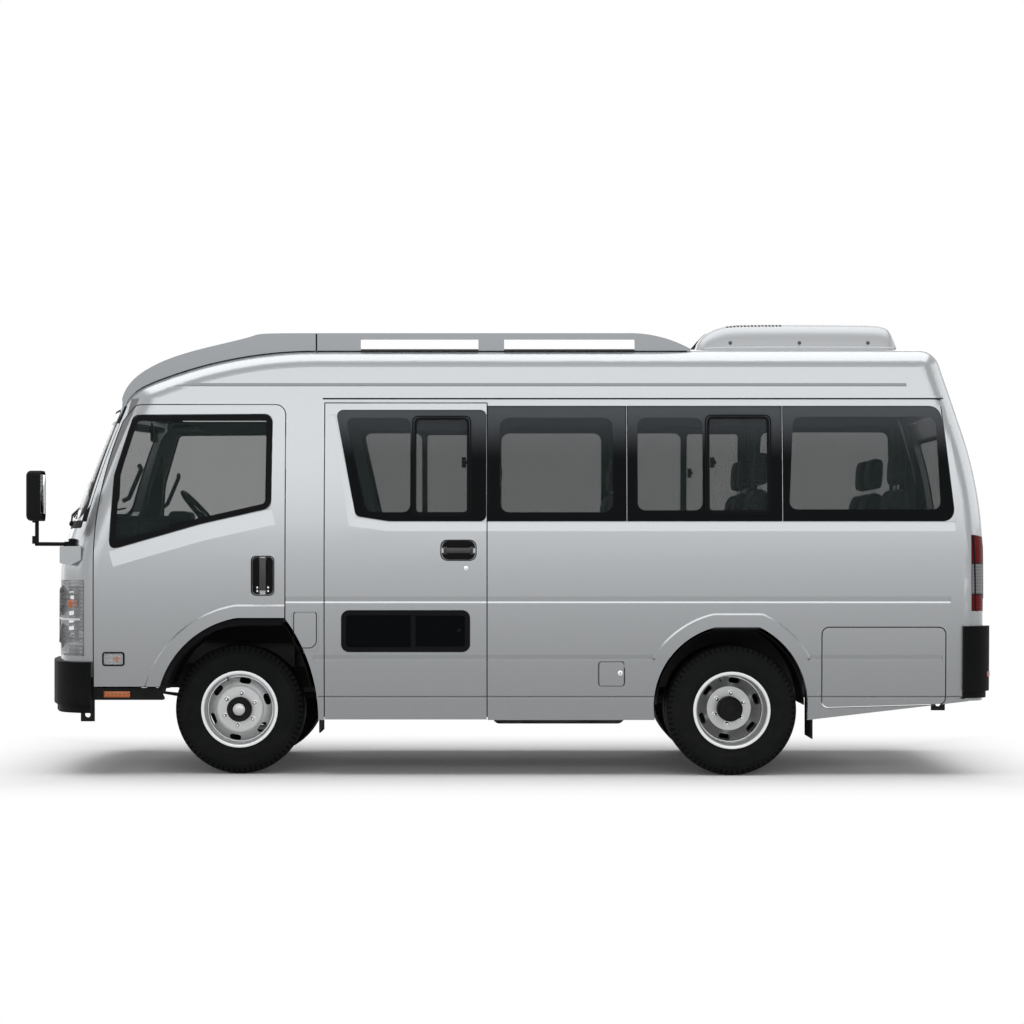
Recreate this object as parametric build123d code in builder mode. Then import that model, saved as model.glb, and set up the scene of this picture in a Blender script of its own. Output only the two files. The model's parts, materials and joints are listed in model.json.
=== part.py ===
"""Forward-control minibus on a light truck chassis, with twin rear wheels.

+X is forward, +Y is the vehicle's left, +Z is up. The origin is on the ground, below the
middle of the vehicle. Sizes are in millimetres.
"""

from build123d import *
from math import asin, atan, cos, hypot, sin, sqrt, tan
import os

# ---------------------------------------------------------------- driving dimensions
WHEELBASE = 2800.0
FRONT_AXLE_X = 1555.0
FRONT_TRACK = 1400.0
REAR_TRACK = 1390.0
TWIN_SPACING = 222.0

TYRE_RADIUS = 370.0
TYRE_WIDTH = 195.0
RIM_RADIUS = 220.0
KINGPIN_Y = 640.0
STEERING_ARM = 130.0

NOSE_X = 2677.0
REAR_X = -2682.0
HALF_WIDTH = 925.0
WAIST_Z = 1000.0
SIDE_BARREL = 10650.0
NOSE_ARC = 2600.0
NOSE_CORNER = 230.0
REAR_CORNER = 130.0
SCREEN_KINK_Z = 1220.0
SCREEN_RAKE = 0.29
SCREEN_BARREL = 5800.0
NOSE_BEND = 700.0
TAIL_KINK_Z = 1250.0
TAIL_ARC = 2300.0
TAIL_ARC_RISE = 700.0
ROOF_Z = 2466.0
ROOF_CROWN = 6250.0
ROOF_BROW = 2500.0
ROOF_BROW_X = 1117.0
ROOF_EDGE = 120.0
WALL = 45.0
GAP = 6.0
GLASS = 5.0
GLASS_SET = 6.0
FLANGE = 26.0

SILL_Z = 316.0
DRIP_Z = 2141.0
FLOOR_Z = 730.0
FLOOR_PLATE = 40.0
CAB_FLOOR_Z = 910.0
WINDOW_FOOT_Z = 1441.0
SWAGE_DEPTH = 7.0
FLARE_RISE = 10.0
FLARE_REACH = 88.0
BEVEL_DEPTH = 6.0

DOOR_FRONT_X = 2367.0
DOOR_REAR_X = 1283.0
DOOR_FOOT_Z = 503.0
DOOR_HEAD_Z = 2104.0
ARCH_HEAD_Z = 892.0
ENTRY_FRONT_X = 1062.0
ENTRY_REAR_X = 141.0
ENTRY_HEAD_Z = 2113.0

FRAME_OUT_Y = 350.0
FRAME_FLANGE = 55.0
FRAME_WEB = 120.0
FRAME_FOOT_Z = 470.0
FRAME_KICK = 95.0

PIN_FIT = 0.05

# ---------------------------------------------------------------- derived places
REAR_AXLE_X = FRONT_AXLE_X - WHEELBASE
AXLE_Z = TYRE_RADIUS
FRONT_WHEEL_Y = FRONT_TRACK / 2
REAR_WHEEL_Y = REAR_TRACK / 2
NOSE_CENTRE_X = NOSE_X - NOSE_ARC
LOW_Z = 100.0
HIGH_Z = 2700.0

os.makedirs("parts", exist_ok=True)


def keep(part, name):
    """Label a finished sub-part and write it."""
    part.label = name
    export_step(part, "parts/" + name + ".step")


# ---------------------------------------------------------------- body surface
def side_y(z, inset=0.0):
    """Half the body's width at a height."""
    radius = SIDE_BARREL - inset
    return HALF_WIDTH - inset - radius + sqrt(radius**2 - (z - WAIST_Z) ** 2)


def side_section(inset):
    """The body seen from the front: barrelled sides, moved inwards by an inset."""
    waist = HALF_WIDTH - inset
    low, high = side_y(LOW_Z, inset), side_y(HIGH_Z, inset)
    with BuildSketch() as section:
        with BuildLine():
            ThreePointArc((low, LOW_Z), (waist, WAIST_Z), (high, HIGH_Z))
            Line((high, HIGH_Z), (-high, HIGH_Z))
            ThreePointArc((-high, HIGH_Z), (-waist, WAIST_Z), (-low, LOW_Z))
            Line((-low, LOW_Z), (low, LOW_Z))
        make_face()
    return section.sketch


def nose_point(z, inset):
    """A point of the raked screen, as distance from the nose arc's centre and height."""
    rise = z - SCREEN_KINK_Z
    slope = -SCREEN_RAKE - rise / SCREEN_BARREL
    length = hypot(1, slope)
    reach = NOSE_ARC - SCREEN_RAKE * rise - rise**2 / (2 * SCREEN_BARREL)
    return (reach - inset / length, z + inset * slope / length)


def nose_profile(inset):
    """An upright panel that bends back into the screen in one soft turn."""
    top = HIGH_Z + 300
    foot = (NOSE_ARC - inset, SCREEN_KINK_Z - inset * tan(atan(SCREEN_RAKE) / 2))
    with BuildSketch() as profile:
        with BuildLine():
            screen = ThreePointArc(
                foot, nose_point((SCREEN_KINK_Z + top) / 2, inset), nose_point(top, inset)
            )
            head = screen @ 1
            Polyline(head, (0, head.Y), (0, LOW_Z - 50), (foot[0], LOW_Z - 50), foot)
        make_face()
        bend = profile.vertices().sort_by_distance((foot[0], foot[1], 0))[0]
        fillet(bend, radius=NOSE_BEND - inset)
    return profile.sketch


def tail_point(angle, inset):
    """A point of the tail's arc, at an angle up from its upright foot."""
    radius = TAIL_ARC - inset
    return (REAR_X + inset + radius * (1 - cos(angle)), TAIL_KINK_Z + radius * sin(angle))


def tail_profile(inset):
    """An upright tail that leans forward through an arc into a straight slope."""
    lean = asin(TAIL_ARC_RISE / TAIL_ARC)
    foot, end = tail_point(0, inset), tail_point(lean, inset)
    top = HIGH_Z + 60
    head = (end[0] + (top - end[1]) * tan(lean), top)
    with BuildSketch() as profile:
        with BuildLine():
            Polyline((NOSE_CENTRE_X, LOW_Z - 60), (foot[0], LOW_Z - 60), foot)
            ThreePointArc(foot, tail_point(lean / 2, inset), end)
            Polyline(end, head, (NOSE_CENTRE_X, top), (NOSE_CENTRE_X, LOW_Z - 60))
        make_face()
    return profile.sketch


def upright(edge, ahead):
    """True for a long corner edge between a side and the nose, or a side and the tail."""
    middle = edge.center()
    in_front = middle.X > NOSE_CENTRE_X
    return in_front == ahead and abs(middle.Y) > 700 and abs((edge @ 0).Z - (edge @ 1).Z) > 50


def walls(inset):
    """The body without its roof: side section, curved nose and leaning tail."""
    with BuildPart() as nose:
        with BuildSketch(Plane(origin=(NOSE_CENTRE_X, 0, 0), x_dir=(-1, 0, 0), z_dir=(0, 1, 0))):
            add(nose_profile(inset))
        revolve(axis=Axis((NOSE_CENTRE_X, 0, 0), (0, 0, 1)))
    with BuildPart() as front_half:
        with BuildSketch(Plane.YZ.offset(NOSE_CENTRE_X)):
            add(side_section(inset))
        extrude(amount=NOSE_ARC + 400)
        add(nose.part, mode=Mode.INTERSECT)
    with BuildPart() as rear_half:
        with BuildSketch(Plane.XZ.offset(-1500)):
            add(tail_profile(inset))
        extrude(amount=3000)
        with BuildSketch(Plane.YZ.offset(NOSE_CENTRE_X)):
            add(side_section(inset))
        extrude(amount=-3200, mode=Mode.INTERSECT)
    with BuildPart() as body:
        add(front_half.part)
        add(rear_half.part)
        fillet(body.edges().filter_by(lambda e: upright(e, False)), radius=REAR_CORNER - inset)
        fillet(body.edges().filter_by(lambda e: upright(e, True)), radius=NOSE_CORNER - inset)
    return body.part


def under_roof(inset):
    """Everything below the crowned roof, which drops over the screen in one arc."""
    crown = ROOF_Z - inset
    reach = HALF_WIDTH + 175
    drop = ROOF_CROWN - sqrt(ROOF_CROWN**2 - reach**2)
    with BuildPart() as below:
        with BuildSketch(Plane.YZ.offset(ROOF_BROW_X)) as arch:
            with BuildLine():
                ThreePointArc((-reach, crown - drop), (0, crown), (reach, crown - drop))
                Polyline((reach, crown - drop), (reach, 50), (-reach, 50), (-reach, crown - drop))
            make_face()
        extrude(amount=REAR_X - ROOF_BROW_X - 200)
        brow = Axis((ROOF_BROW_X, 0, ROOF_Z - ROOF_BROW), (0, 1, 0))
        revolve(arch.sketch, axis=brow, revolution_arc=90)
    return below.part


def is_roof(face):
    return face.center().Z > DRIP_Z + 100 and abs(face.center().Y) < 50


def body_form(inset):
    """The whole body as one solid, its roof rounded into its walls."""
    with BuildPart() as form:
        add(walls(inset))
        add(under_roof(inset), mode=Mode.INTERSECT)
        roof = form.faces().filter_by(is_roof).filter_by(GeomType.PLANE, reverse=True)
        rim = [e for e in roof.edges() if sum(e.is_same(other) for other in roof.edges()) == 1]
        fillet(rim, radius=ROOF_EDGE - inset)
    return form.part


# ---------------------------------------------------------------- shared shapes
def block(x, y, z):
    """A square block between two values on each axis."""
    with BuildPart() as solid:
        with Locations(((x[0] + x[1]) / 2, (y[0] + y[1]) / 2, (z[0] + z[1]) / 2)):
            Box(abs(x[1] - x[0]), abs(y[1] - y[0]), abs(z[1] - z[0]))
    return solid.part


def rod(start, end, radius, bore=0.0):
    """A round bar or tube from one point to another."""
    run = Vector(*end) - Vector(*start)
    with BuildPart() as bar:
        with BuildSketch(Plane(origin=start, z_dir=run.normalized())):
            Circle(radius)
            if bore:
                Circle(bore, mode=Mode.SUBTRACT)
        extrude(amount=run.length)
    return bar.part


def side_prism(outline, y):
    """A side-view outline, drawn as X and Z, as a solid between two values of Y."""
    with BuildPart() as prism:
        with BuildSketch(Plane.XZ.offset(-max(y))):
            add(outline)
        extrude(amount=abs(y[1] - y[0]))
    return prism.part


def end_prism(outline, x):
    """A front-view outline, drawn as Y and Z, as a solid between two values of X."""
    with BuildPart() as prism:
        with BuildSketch(Plane.YZ.offset(min(x))):
            add(outline)
        extrude(amount=abs(x[1] - x[0]))
    return prism.part


def outline_of(points, radius=0.0):
    """A closed outline through a few points, with every corner rounded alike."""
    with BuildSketch() as outline:
        with BuildLine():
            Polyline(*points, close=True)
        make_face()
        if radius:
            fillet(outline.vertices(), radius=radius)
    return outline.sketch


def grown(outline, amount):
    """An outline moved outwards, or inwards where the amount is negative."""
    with BuildSketch() as moved:
        add(outline)
        offset(amount=amount, kind=Kind.ARC if amount > 0 else Kind.INTERSECTION)
    return moved.sketch


def union(*parts):
    with BuildPart() as whole:
        for each in parts:
            add(each)
    return whole.part


def common(first, *others):
    with BuildPart() as rest:
        add(first)
        for each in others:
            add(each, mode=Mode.INTERSECT)
    return rest.part


def less(first, *others):
    with BuildPart() as rest:
        add(first)
        for each in others:
            add(each, mode=Mode.SUBTRACT)
    return rest.part


def mirrored(part):
    """The same piece on the vehicle's other side."""
    with BuildPart() as copy:
        add(part)
        mirror(about=Plane.XZ, mode=Mode.REPLACE)
    return copy.part


OUTER = body_form(0.0)
INNER = body_form(WALL)
SHELL = less(OUTER, INNER)
GLASS_OUT = walls(GLASS_SET)
GLASS_IN = walls(GLASS_SET + GLASS)
GLASS_LAYER = less(GLASS_OUT, GLASS_IN)
SWELL = less(walls(-FLARE_RISE), walls(0.0))

LEFT = (300.0, 1200.0)
RIGHT = (-1200.0, -300.0)
FAR = 3500.0


def sash(panel, outline, prism, span):
    """Cut a bonded window into a panel, and return the panel and its pane."""
    seat = less(prism(grown(outline, 1.0), span), GLASS_IN)
    hole = prism(grown(outline, -FLANGE), span)
    pane = common(GLASS_LAYER, prism(outline, span))
    return less(panel, seat, hole), pane


def swage(x, foot, upper, lower):
    """A pressed line along the left side: a long dip from above, then a short ledge."""
    section = outline_of(
        [
            (side_y(foot + upper), foot + upper),
            (side_y(foot) - SWAGE_DEPTH, foot),
            (side_y(foot - lower), foot - lower),
            (HALF_WIDTH + 30, foot),
        ]
    )
    return end_prism(section, x)


def bevel(*stations):
    """A wedge that slopes the left side inwards to a window's edge, mitred at each corner."""
    sections = []
    for x, z, reach_x, reach_z in stations:
        deep = Vector(x, side_y(z) - BEVEL_DEPTH, z)
        rim = Vector(x + reach_x, side_y(z + reach_z), z + reach_z)
        proud = Vector(x, side_y(z) + 20, z)
        sections.append(Face(Wire.make_polygon([deep, rim, proud])))
    with BuildPart() as wedge:
        loft(sections=sections, ruled=True)
    return wedge.part


def flare(arch):
    """A raised band round a left wheel arch, sloping down to the panel at its edge."""
    with BuildPart() as band:
        with BuildSketch(Plane.XZ.offset(-880)):
            add(grown(arch, FLARE_REACH + 35))
        with BuildSketch(Plane.XZ.offset(-940)):
            add(grown(arch, FLARE_REACH - 25))
        loft(ruled=True)
    return less(common(SWELL, band.part), side_prism(arch, LEFT))


def groove(outline, depth, span):
    """The gap round a small flap, cut a little way into the left side."""
    frame = less(side_prism(grown(outline, 3), span), side_prism(outline, span))
    return less(frame, walls(depth))


# ---------------------------------------------------------------- panel outlines
PILLAR_TOP = (2215.0, 2011.0)


def front_door_outline():
    """The cab door, its front edge leaning back with the screen, its foot round the arch."""
    with BuildSketch() as outline:
        with BuildLine():
            Line((DOOR_FRONT_X, DOOR_FOOT_Z), (DOOR_FRONT_X, SCREEN_KINK_Z))
            pillar = TangentArc((DOOR_FRONT_X, SCREEN_KINK_Z), PILLAR_TOP, tangent=(0, 1))
            Line(pillar @ 1, (PILLAR_TOP[0] - 75, DOOR_HEAD_Z))
            Line((PILLAR_TOP[0] - 75, DOOR_HEAD_Z), (DOOR_REAR_X, DOOR_HEAD_Z))
            Line((DOOR_REAR_X, DOOR_HEAD_Z), (DOOR_REAR_X, ARCH_HEAD_Z))
            Line((DOOR_REAR_X, ARCH_HEAD_Z), (FRONT_AXLE_X, ARCH_HEAD_Z))
            arch = ThreePointArc((FRONT_AXLE_X, ARCH_HEAD_Z), (1819.0, 768.0), (1989.0, DOOR_FOOT_Z))
            Line(arch @ 1, (DOOR_FRONT_X, DOOR_FOOT_Z))
        make_face()
        fillet(outline.vertices().group_by(Axis.Y)[-1], radius=60)
    return outline.sketch


DOOR = front_door_outline()
ENTRY = outline_of(
    [
        (ENTRY_FRONT_X, SILL_Z),
        (ENTRY_FRONT_X, ENTRY_HEAD_Z),
        (ENTRY_REAR_X, ENTRY_HEAD_Z),
        (ENTRY_REAR_X, SILL_Z),
    ]
)


def front_arch_outline():
    """The opening over the steered wheel."""
    with BuildSketch() as outline:
        with BuildLine():
            Line((1989.0, 100.0), (1989.0, DOOR_FOOT_Z))
            ThreePointArc((1989.0, DOOR_FOOT_Z), (1819.0, 768.0), (FRONT_AXLE_X, ARCH_HEAD_Z))
            Line((FRONT_AXLE_X, ARCH_HEAD_Z), (DOOR_REAR_X, ARCH_HEAD_Z))
            ThreePointArc((DOOR_REAR_X, ARCH_HEAD_Z), (1150.0, 640.0), (1096.0, SILL_Z))
            Line((1096.0, SILL_Z), (1096.0, 100.0))
            Line((1096.0, 100.0), (1989.0, 100.0))
        make_face()
    return outline.sketch


def rear_arch_outline():
    """The flat-topped opening over the twin wheels."""
    with BuildSketch() as outline:
        with BuildLine():
            Line((-808.0, 100.0), (-808.0, SILL_Z))
            ThreePointArc((-808.0, SILL_Z), (-881.0, 655.0), (-1147.0, 842.0))
            Line((-1147.0, 842.0), (-1401.0, 842.0))
            ThreePointArc((-1401.0, 842.0), (-1600.0, 660.0), (-1672.0, 362.0))
            Line((-1672.0, 362.0), (-1672.0, 100.0))
            Line((-1672.0, 100.0), (-808.0, 100.0))
        make_face()
    return outline.sketch


FRONT_ARCH = front_arch_outline()
REAR_ARCH = rear_arch_outline()
LUGGAGE = outline_of([(-1752, 385), (-1752, 842), (-2452, 842), (-2452, 405)], radius=40)
TAIL_BOUNDARY = [(-2585, 150), (-2585, TAIL_KINK_Z), (-2452, DRIP_Z)]
BACK_DOOR_HEAD_Z = 2065.0
BACK_DOOR_FOOT_Z = 700.0
BACK_DOOR_HALF = 760.0
BACK_DOOR = outline_of(
    [
        (-BACK_DOOR_HALF, BACK_DOOR_FOOT_Z),
        (-BACK_DOOR_HALF + 40, BACK_DOOR_HEAD_Z),
        (BACK_DOOR_HALF - 40, BACK_DOOR_HEAD_Z),
        (BACK_DOOR_HALF, BACK_DOOR_FOOT_Z),
    ],
    radius=60,
)

# window outlines
DOOR_WINDOW = outline_of(
    [(2283, 1275), (2255, 1700), (2150, 2046), (1356, 2051), (1362, 1515), (1763, 1424)],
    radius=45,
)
ENTRY_WINDOW = outline_of(
    [(1000, 2073), (885, 1470), (700, 1441), (ENTRY_REAR_X + 4, 1441), (ENTRY_REAR_X + 4, 2073)],
    radius=36,
)
ENTRY_LOW_WINDOW = outline_of([(966, 701), (966, 938), (237, 938), (237, 701)], radius=45)
FUEL_FLAP = outline_of([(-486, 508), (-486, 644), (-638, 644), (-638, 508)], radius=16)
FILLER_FLAP = outline_of([(1243, 760), (1243, 927), (1096, 927), (1096, 712), (1195, 712)], radius=12)
SIDE_LIGHTS = [
    [(138, 1441), (138, 2096), (-648, 2096), (-648, 1441)],
    [(-652, 1441), (-652, 2096), (-1529, 2096), (-1529, 1441)],
    [(-1533, 1441), (-1533, 2096), (-2435, 2096), (-2509, 1441)],
]
SCREEN = outline_of([(-850, 1455), (-765, 2085), (765, 2085), (850, 1455)], radius=70)
BACK_LIGHT = outline_of([(-670, 1441), (-650, 1990), (650, 1990), (670, 1441)], radius=70)

# ---------------------------------------------------------------- body panels
DOOR_CUT = grown(DOOR, GAP / 2)
ENTRY_CUT = grown(ENTRY, GAP / 2)
BELOW_DRIP = block((-FAR, FAR), (-FAR, FAR), (100, DRIP_Z))
ABOVE_DRIP = block((-FAR, FAR), (-FAR, FAR), (DRIP_Z, 2800))
AHEAD = outline_of(
    [(DOOR_FRONT_X, 150), (DOOR_FRONT_X, 1300), (2170, DRIP_Z), (3300, DRIP_Z), (3300, 150)]
)
BEHIND = outline_of(TAIL_BOUNDARY + [(-3300, DRIP_Z), (-3300, 150)])
FRONT_ZONE = side_prism(AHEAD, (-FAR, FAR))
REAR_ZONE = side_prism(BEHIND, (-FAR, FAR))

DRIP_SPAN = (-2446.0, 1073.0)
DRIP_RAIL = common(less(walls(-12), walls(0.0)), block(DRIP_SPAN, (-FAR, FAR), (DRIP_Z, DRIP_Z + 12)))
CREASE = swage((-2240, 1960), 2213, 14, 5)
with BuildPart() as roof_panel:
    add(SHELL)
    add(ABOVE_DRIP, mode=Mode.INTERSECT)
    add(CREASE, mode=Mode.SUBTRACT)
    add(mirrored(CREASE), mode=Mode.SUBTRACT)
    add(DRIP_RAIL)
keep(roof_panel.part, "roof_panel")

BELT = common(SHELL, BELOW_DRIP)
SIDE_FOOT = outline_of(
    [(FAR, 100), (FAR, SILL_Z), (-1672, SILL_Z), (-2600, 425), (-2700, 425), (-2700, 100)]
)
SIDE_BAND = less(BELT, FRONT_ZONE, REAR_ZONE, side_prism(SIDE_FOOT, (-FAR, FAR)))


def side_panel(span):
    """One body side with its cab door opening, wheel arches and window band."""
    side = common(SIDE_BAND, block((-FAR, FAR), span, (100, DRIP_Z)))
    return less(
        side,
        side_prism(DOOR_CUT, span),
        side_prism(FRONT_ARCH, span),
        side_prism(REAR_ARCH, span),
        block((FRONT_AXLE_X, DOOR_FRONT_X), span, (LOW_Z, DOOR_FOOT_Z)),
    )


PRESSINGS = union(
    swage((-2480, DOOR_REAR_X + 12), 988, 28, 10),
    swage((-808, 1124), 664, 22, 14),
    swage((-2435, -1672), 664, 22, 14),
    swage((-808, 1096), 447, 6, 12),
    swage((-2560, -1672), 447, 6, 12),
    bevel((ENTRY_REAR_X + 20, WINDOW_FOOT_Z - 2, 0, -54), (-2509, WINDOW_FOOT_Z - 2, 0, -54)),
)
ENTRY_BEVEL = bevel(
    (1002, 2050, 48, -10),
    (884, 1466, 40, -50),
    (700, WINDOW_FOOT_Z - 2, 6, -54),
    (ENTRY_REAR_X - 20, WINDOW_FOOT_Z - 2, 0, -54),
)
REAR_FLARE = common(flare(REAR_ARCH), block((-1900, -600), LEFT, (670, 1100)))
left_side = side_panel(LEFT)
right_side = side_panel(RIGHT)
left_side = union(less(left_side, PRESSINGS), REAR_FLARE)
right_side = less(right_side, mirrored(PRESSINGS), mirrored(ENTRY_BEVEL))
right_side = union(right_side, mirrored(REAR_FLARE))
left_side = less(left_side, side_prism(ENTRY_CUT, LEFT), side_prism(grown(LUGGAGE, GAP / 2), LEFT))
left_side = less(left_side, groove(FUEL_FLAP, 5, LEFT), groove(FILLER_FLAP, 5, LEFT))

side_panes = []
for points in SIDE_LIGHTS:
    light = outline_of(points)
    left_side, pane = sash(left_side, light, side_prism, LEFT)
    side_panes.append(pane)
    right_side, pane = sash(right_side, light, side_prism, RIGHT)
    side_panes.append(pane)
right_side, pane = sash(right_side, ENTRY_WINDOW, side_prism, RIGHT)
side_panes.append(pane)

with BuildPart() as left_side_panel:
    add(left_side)
keep(left_side_panel.part, "left_side_panel")

with BuildPart() as right_side_panel:
    add(right_side)
keep(right_side_panel.part, "right_side_panel")

with BuildPart() as side_glass:
    for pane in side_panes:
        add(pane)
keep(side_glass.part, "side_glass")

# front panel
NOSE_FOOT_Z = 560.0
front = common(BELT, FRONT_ZONE, block((-FAR, FAR), (-FAR, FAR), (NOSE_FOOT_Z, DRIP_Z)))
front = less(front, side_prism(DOOR_CUT, (-FAR, FAR)))
front, screen_pane = sash(front, SCREEN, end_prism, (1500, 3200))
LAMP = outline_of([(560, 680), (560, 880), (600, 1105), (1100, 1105), (1100, 680)], radius=25)
LAMP_ZONE = common(end_prism(LAMP, (2424, 3200)), less(walls(-4), walls(40)))
LAMP_POCKET = end_prism(grown(LAMP, 2), (2421, 3200))
GRILLE_OUTLINE = outline_of([(-500, 740), (-540, 1060), (540, 1060), (500, 740)], radius=40)
front = less(front, LAMP_POCKET, mirrored(LAMP_POCKET), end_prism(grown(GRILLE_OUTLINE, 2), (2000, 3200)))

MIRROR_FOOT = outline_of([(2440, 1222), (2440, 1300), (2560, 1300), (2560, 1204), (2500, 1192)], radius=8)
with BuildPart() as front_panel:
    add(front)
    add(less(side_prism(MIRROR_FOOT, (780, 905)), OUTER))
    add(less(side_prism(MIRROR_FOOT, (-905, -780)), OUTER))
keep(front_panel.part, "front_panel")

with BuildPart() as windshield:
    add(screen_pane)
keep(windshield.part, "windshield")

with BuildPart() as head_lamps:
    add(LAMP_ZONE)
    add(mirrored(LAMP_ZONE))
keep(head_lamps.part, "head_lamps")

SLATS = 6
with BuildPart() as grille:
    add(end_prism(GRILLE_OUTLINE, (2000, 3200)))
    add(end_prism(grown(GRILLE_OUTLINE, -28), (2000, 3200)), mode=Mode.SUBTRACT)
    for index in range(SLATS):
        z = 740 + (index + 1) * 320 / (SLATS + 1)
        add(common(block((2000, 3200), (-600, 600), (z - 8, z + 8)), end_prism(GRILLE_OUTLINE, (2000, 3200))))
    add(less(walls(-6), walls(30)), mode=Mode.INTERSECT)
keep(grille.part, "grille")

# rear panel
rear = common(BELT, REAR_ZONE, block((-FAR, FAR), (-FAR, FAR), (425, DRIP_Z)))
rear = less(rear, end_prism(grown(BACK_DOOR, GAP / 2), (-3200, -2000)))
TAIL_LAMP = outline_of([(840, 935), (840, 1350), (1100, 1400), (1100, 935)], radius=15)
TAIL_LAMP_ZONE = common(end_prism(TAIL_LAMP, (-3200, -2600)), less(walls(-3), walls(34)))
TAIL_POCKET = end_prism(grown(TAIL_LAMP, 2), (-3200, -2598))
rear = less(rear, TAIL_POCKET, mirrored(TAIL_POCKET))

with BuildPart() as rear_panel:
    add(rear)
keep(rear_panel.part, "rear_panel")

with BuildPart() as tail_lamps:
    add(TAIL_LAMP_ZONE)
    add(mirrored(TAIL_LAMP_ZONE))
keep(tail_lamps.part, "tail_lamps")

# ---------------------------------------------------------------- doors
DOOR_BODY = grown(DOOR, -GAP / 2)
HANDLE_DEPTH = 16.0
DOOR_HANDLE = outline_of([(1345, 1022), (1345, 1244), (1474, 1244), (1474, 1022)], radius=28)
DOOR_GRIP = block((1394, 1425), (906, 926), (1010, 1250))
left_leaf = common(SHELL, side_prism(DOOR_BODY, LEFT))
left_leaf = union(left_leaf, common(flare(FRONT_ARCH), side_prism(DOOR_BODY, LEFT)))
left_leaf = less(
    left_leaf,
    bevel((2283, 1273, -28, -90), (1765, 1422, -25, -90), (1360, 1513, -22, -90)),
    less(side_prism(DOOR_HANDLE, LEFT), walls(HANDLE_DEPTH), DOOR_GRIP),
)
for side, span in (("left", LEFT), ("right", RIGHT)):
    leaf = left_leaf if side == "left" else mirrored(left_leaf)
    leaf, pane = sash(leaf, DOOR_WINDOW, side_prism, span)
    with BuildPart() as front_door:
        add(leaf)
    keep(front_door.part, "front_" + side + "_door")
    with BuildPart() as front_door_glass:
        add(pane)
    keep(front_door_glass.part, "front_" + side + "_door_glass")

ENTRY_HANDLE = outline_of([(202, 1219), (202, 1335), (403, 1335), (403, 1219)], radius=38)
ENTRY_GRIP = block((190, 415), (906, 926), (1262, 1288))
entry_leaf = less(
    common(SHELL, side_prism(grown(ENTRY, -GAP / 2), LEFT)),
    PRESSINGS,
    ENTRY_BEVEL,
    less(side_prism(ENTRY_HANDLE, LEFT), walls(HANDLE_DEPTH), ENTRY_GRIP),
)
entry_leaf, entry_pane = sash(entry_leaf, ENTRY_WINDOW, side_prism, LEFT)
entry_leaf, low_pane = sash(entry_leaf, ENTRY_LOW_WINDOW, side_prism, LEFT)
with BuildPart() as passenger_door:
    add(entry_leaf)
keep(passenger_door.part, "passenger_door")
with BuildPart() as passenger_door_glass:
    add(entry_pane)
    add(low_pane)
keep(passenger_door_glass.part, "passenger_door_glass")

PLATE_RECESS = outline_of([(-235, 790), (-235, 960), (235, 960), (235, 790)], radius=14)
back_leaf = common(SHELL, end_prism(grown(BACK_DOOR, -GAP / 2), (-3200, -2000)))
back_leaf = less(
    back_leaf,
    less(end_prism(PLATE_RECESS, (-3200, -2000)), walls(9)),
    less(block((-3200, -2000), (-110, 110), (1010, 1070)), walls(HANDLE_DEPTH)),
)
back_leaf, back_pane = sash(back_leaf, BACK_LIGHT, end_prism, (-3200, -2000))
with BuildPart() as tailgate:
    add(back_leaf)
keep(tailgate.part, "tailgate")
with BuildPart() as tailgate_glass:
    add(back_pane)
keep(tailgate_glass.part, "tailgate_glass")

with BuildPart() as luggage_flap:
    add(SHELL)
    add(side_prism(grown(LUGGAGE, -GAP / 2), LEFT), mode=Mode.INTERSECT)
    add(PRESSINGS, mode=Mode.SUBTRACT)
keep(luggage_flap.part, "luggage_flap")

# ---------------------------------------------------------------- bumpers and outer fittings
SKIRT = less(walls(-38), walls(0.0))
SKIRT_LIP = less(walls(-20), walls(0.0))
NOSE_INTAKE = less(block((2600, 3200), (-430, 430), (430, 520)), walls(-16))
BUMPER_TAIL_X = DOOR_FRONT_X + 15
with BuildPart() as front_bumper:
    add(common(SKIRT, block((BUMPER_TAIL_X, 3200), (-FAR, FAR), (400, 644))))
    add(common(SKIRT_LIP, block((BUMPER_TAIL_X, 3200), (-FAR, FAR), (356, 400))))
    add(NOSE_INTAKE, mode=Mode.SUBTRACT)
keep(front_bumper.part, "front_bumper")

BUMPER_CORNER = block((-3200, -2548), (BACK_DOOR_HALF + 16, FAR), (600, 848))
with BuildPart() as rear_bumper:
    add(common(SKIRT, block((-3200, -2548), (-FAR, FAR), (480, BACK_DOOR_FOOT_Z - 10))))
    add(common(SKIRT_LIP, block((-3200, -2548), (-FAR, FAR), (441, 480))))
    add(common(SKIRT, BUMPER_CORNER))
    add(common(SKIRT, mirrored(BUMPER_CORNER)))
keep(rear_bumper.part, "rear_bumper")

STEP = outline_of([(2367, 430), (1965, 430), (1995, 497), (2367, 497)], radius=8)
with BuildPart() as cab_step:
    add(common(SHELL, side_prism(STEP, LEFT)))
    add(block((2080, 2330), (800, 872), (470, 485)))
    add(block((2295, 2325), (830, 860), (470, 600)))
with BuildPart() as cab_steps:
    add(cab_step.part)
    add(mirrored(cab_step.part))
keep(cab_steps.part, "cab_steps")

FLAP_WALL_X = 1096.0
with BuildPart() as mud_flaps:
    for side in (-1, 1):
        add(block((FLAP_WALL_X - 8, FLAP_WALL_X), (side * 560, side * 850), (240, 560)))
        add(block((-1708, -1702), (side * 520, side * 850), (205, FLOOR_Z - FLOOR_PLATE)))
keep(mud_flaps.part, "mud_flaps")

LINER = 5.0
LINER_SPAN = (480.0, 868.0)


def liner(arch, clear, zone):
    """A thin shell that follows a left wheel arch inside its edge."""
    outer = side_prism(grown(arch, -clear), LINER_SPAN)
    return common(less(outer, side_prism(grown(arch, -clear - LINER), LEFT)), zone)


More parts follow.
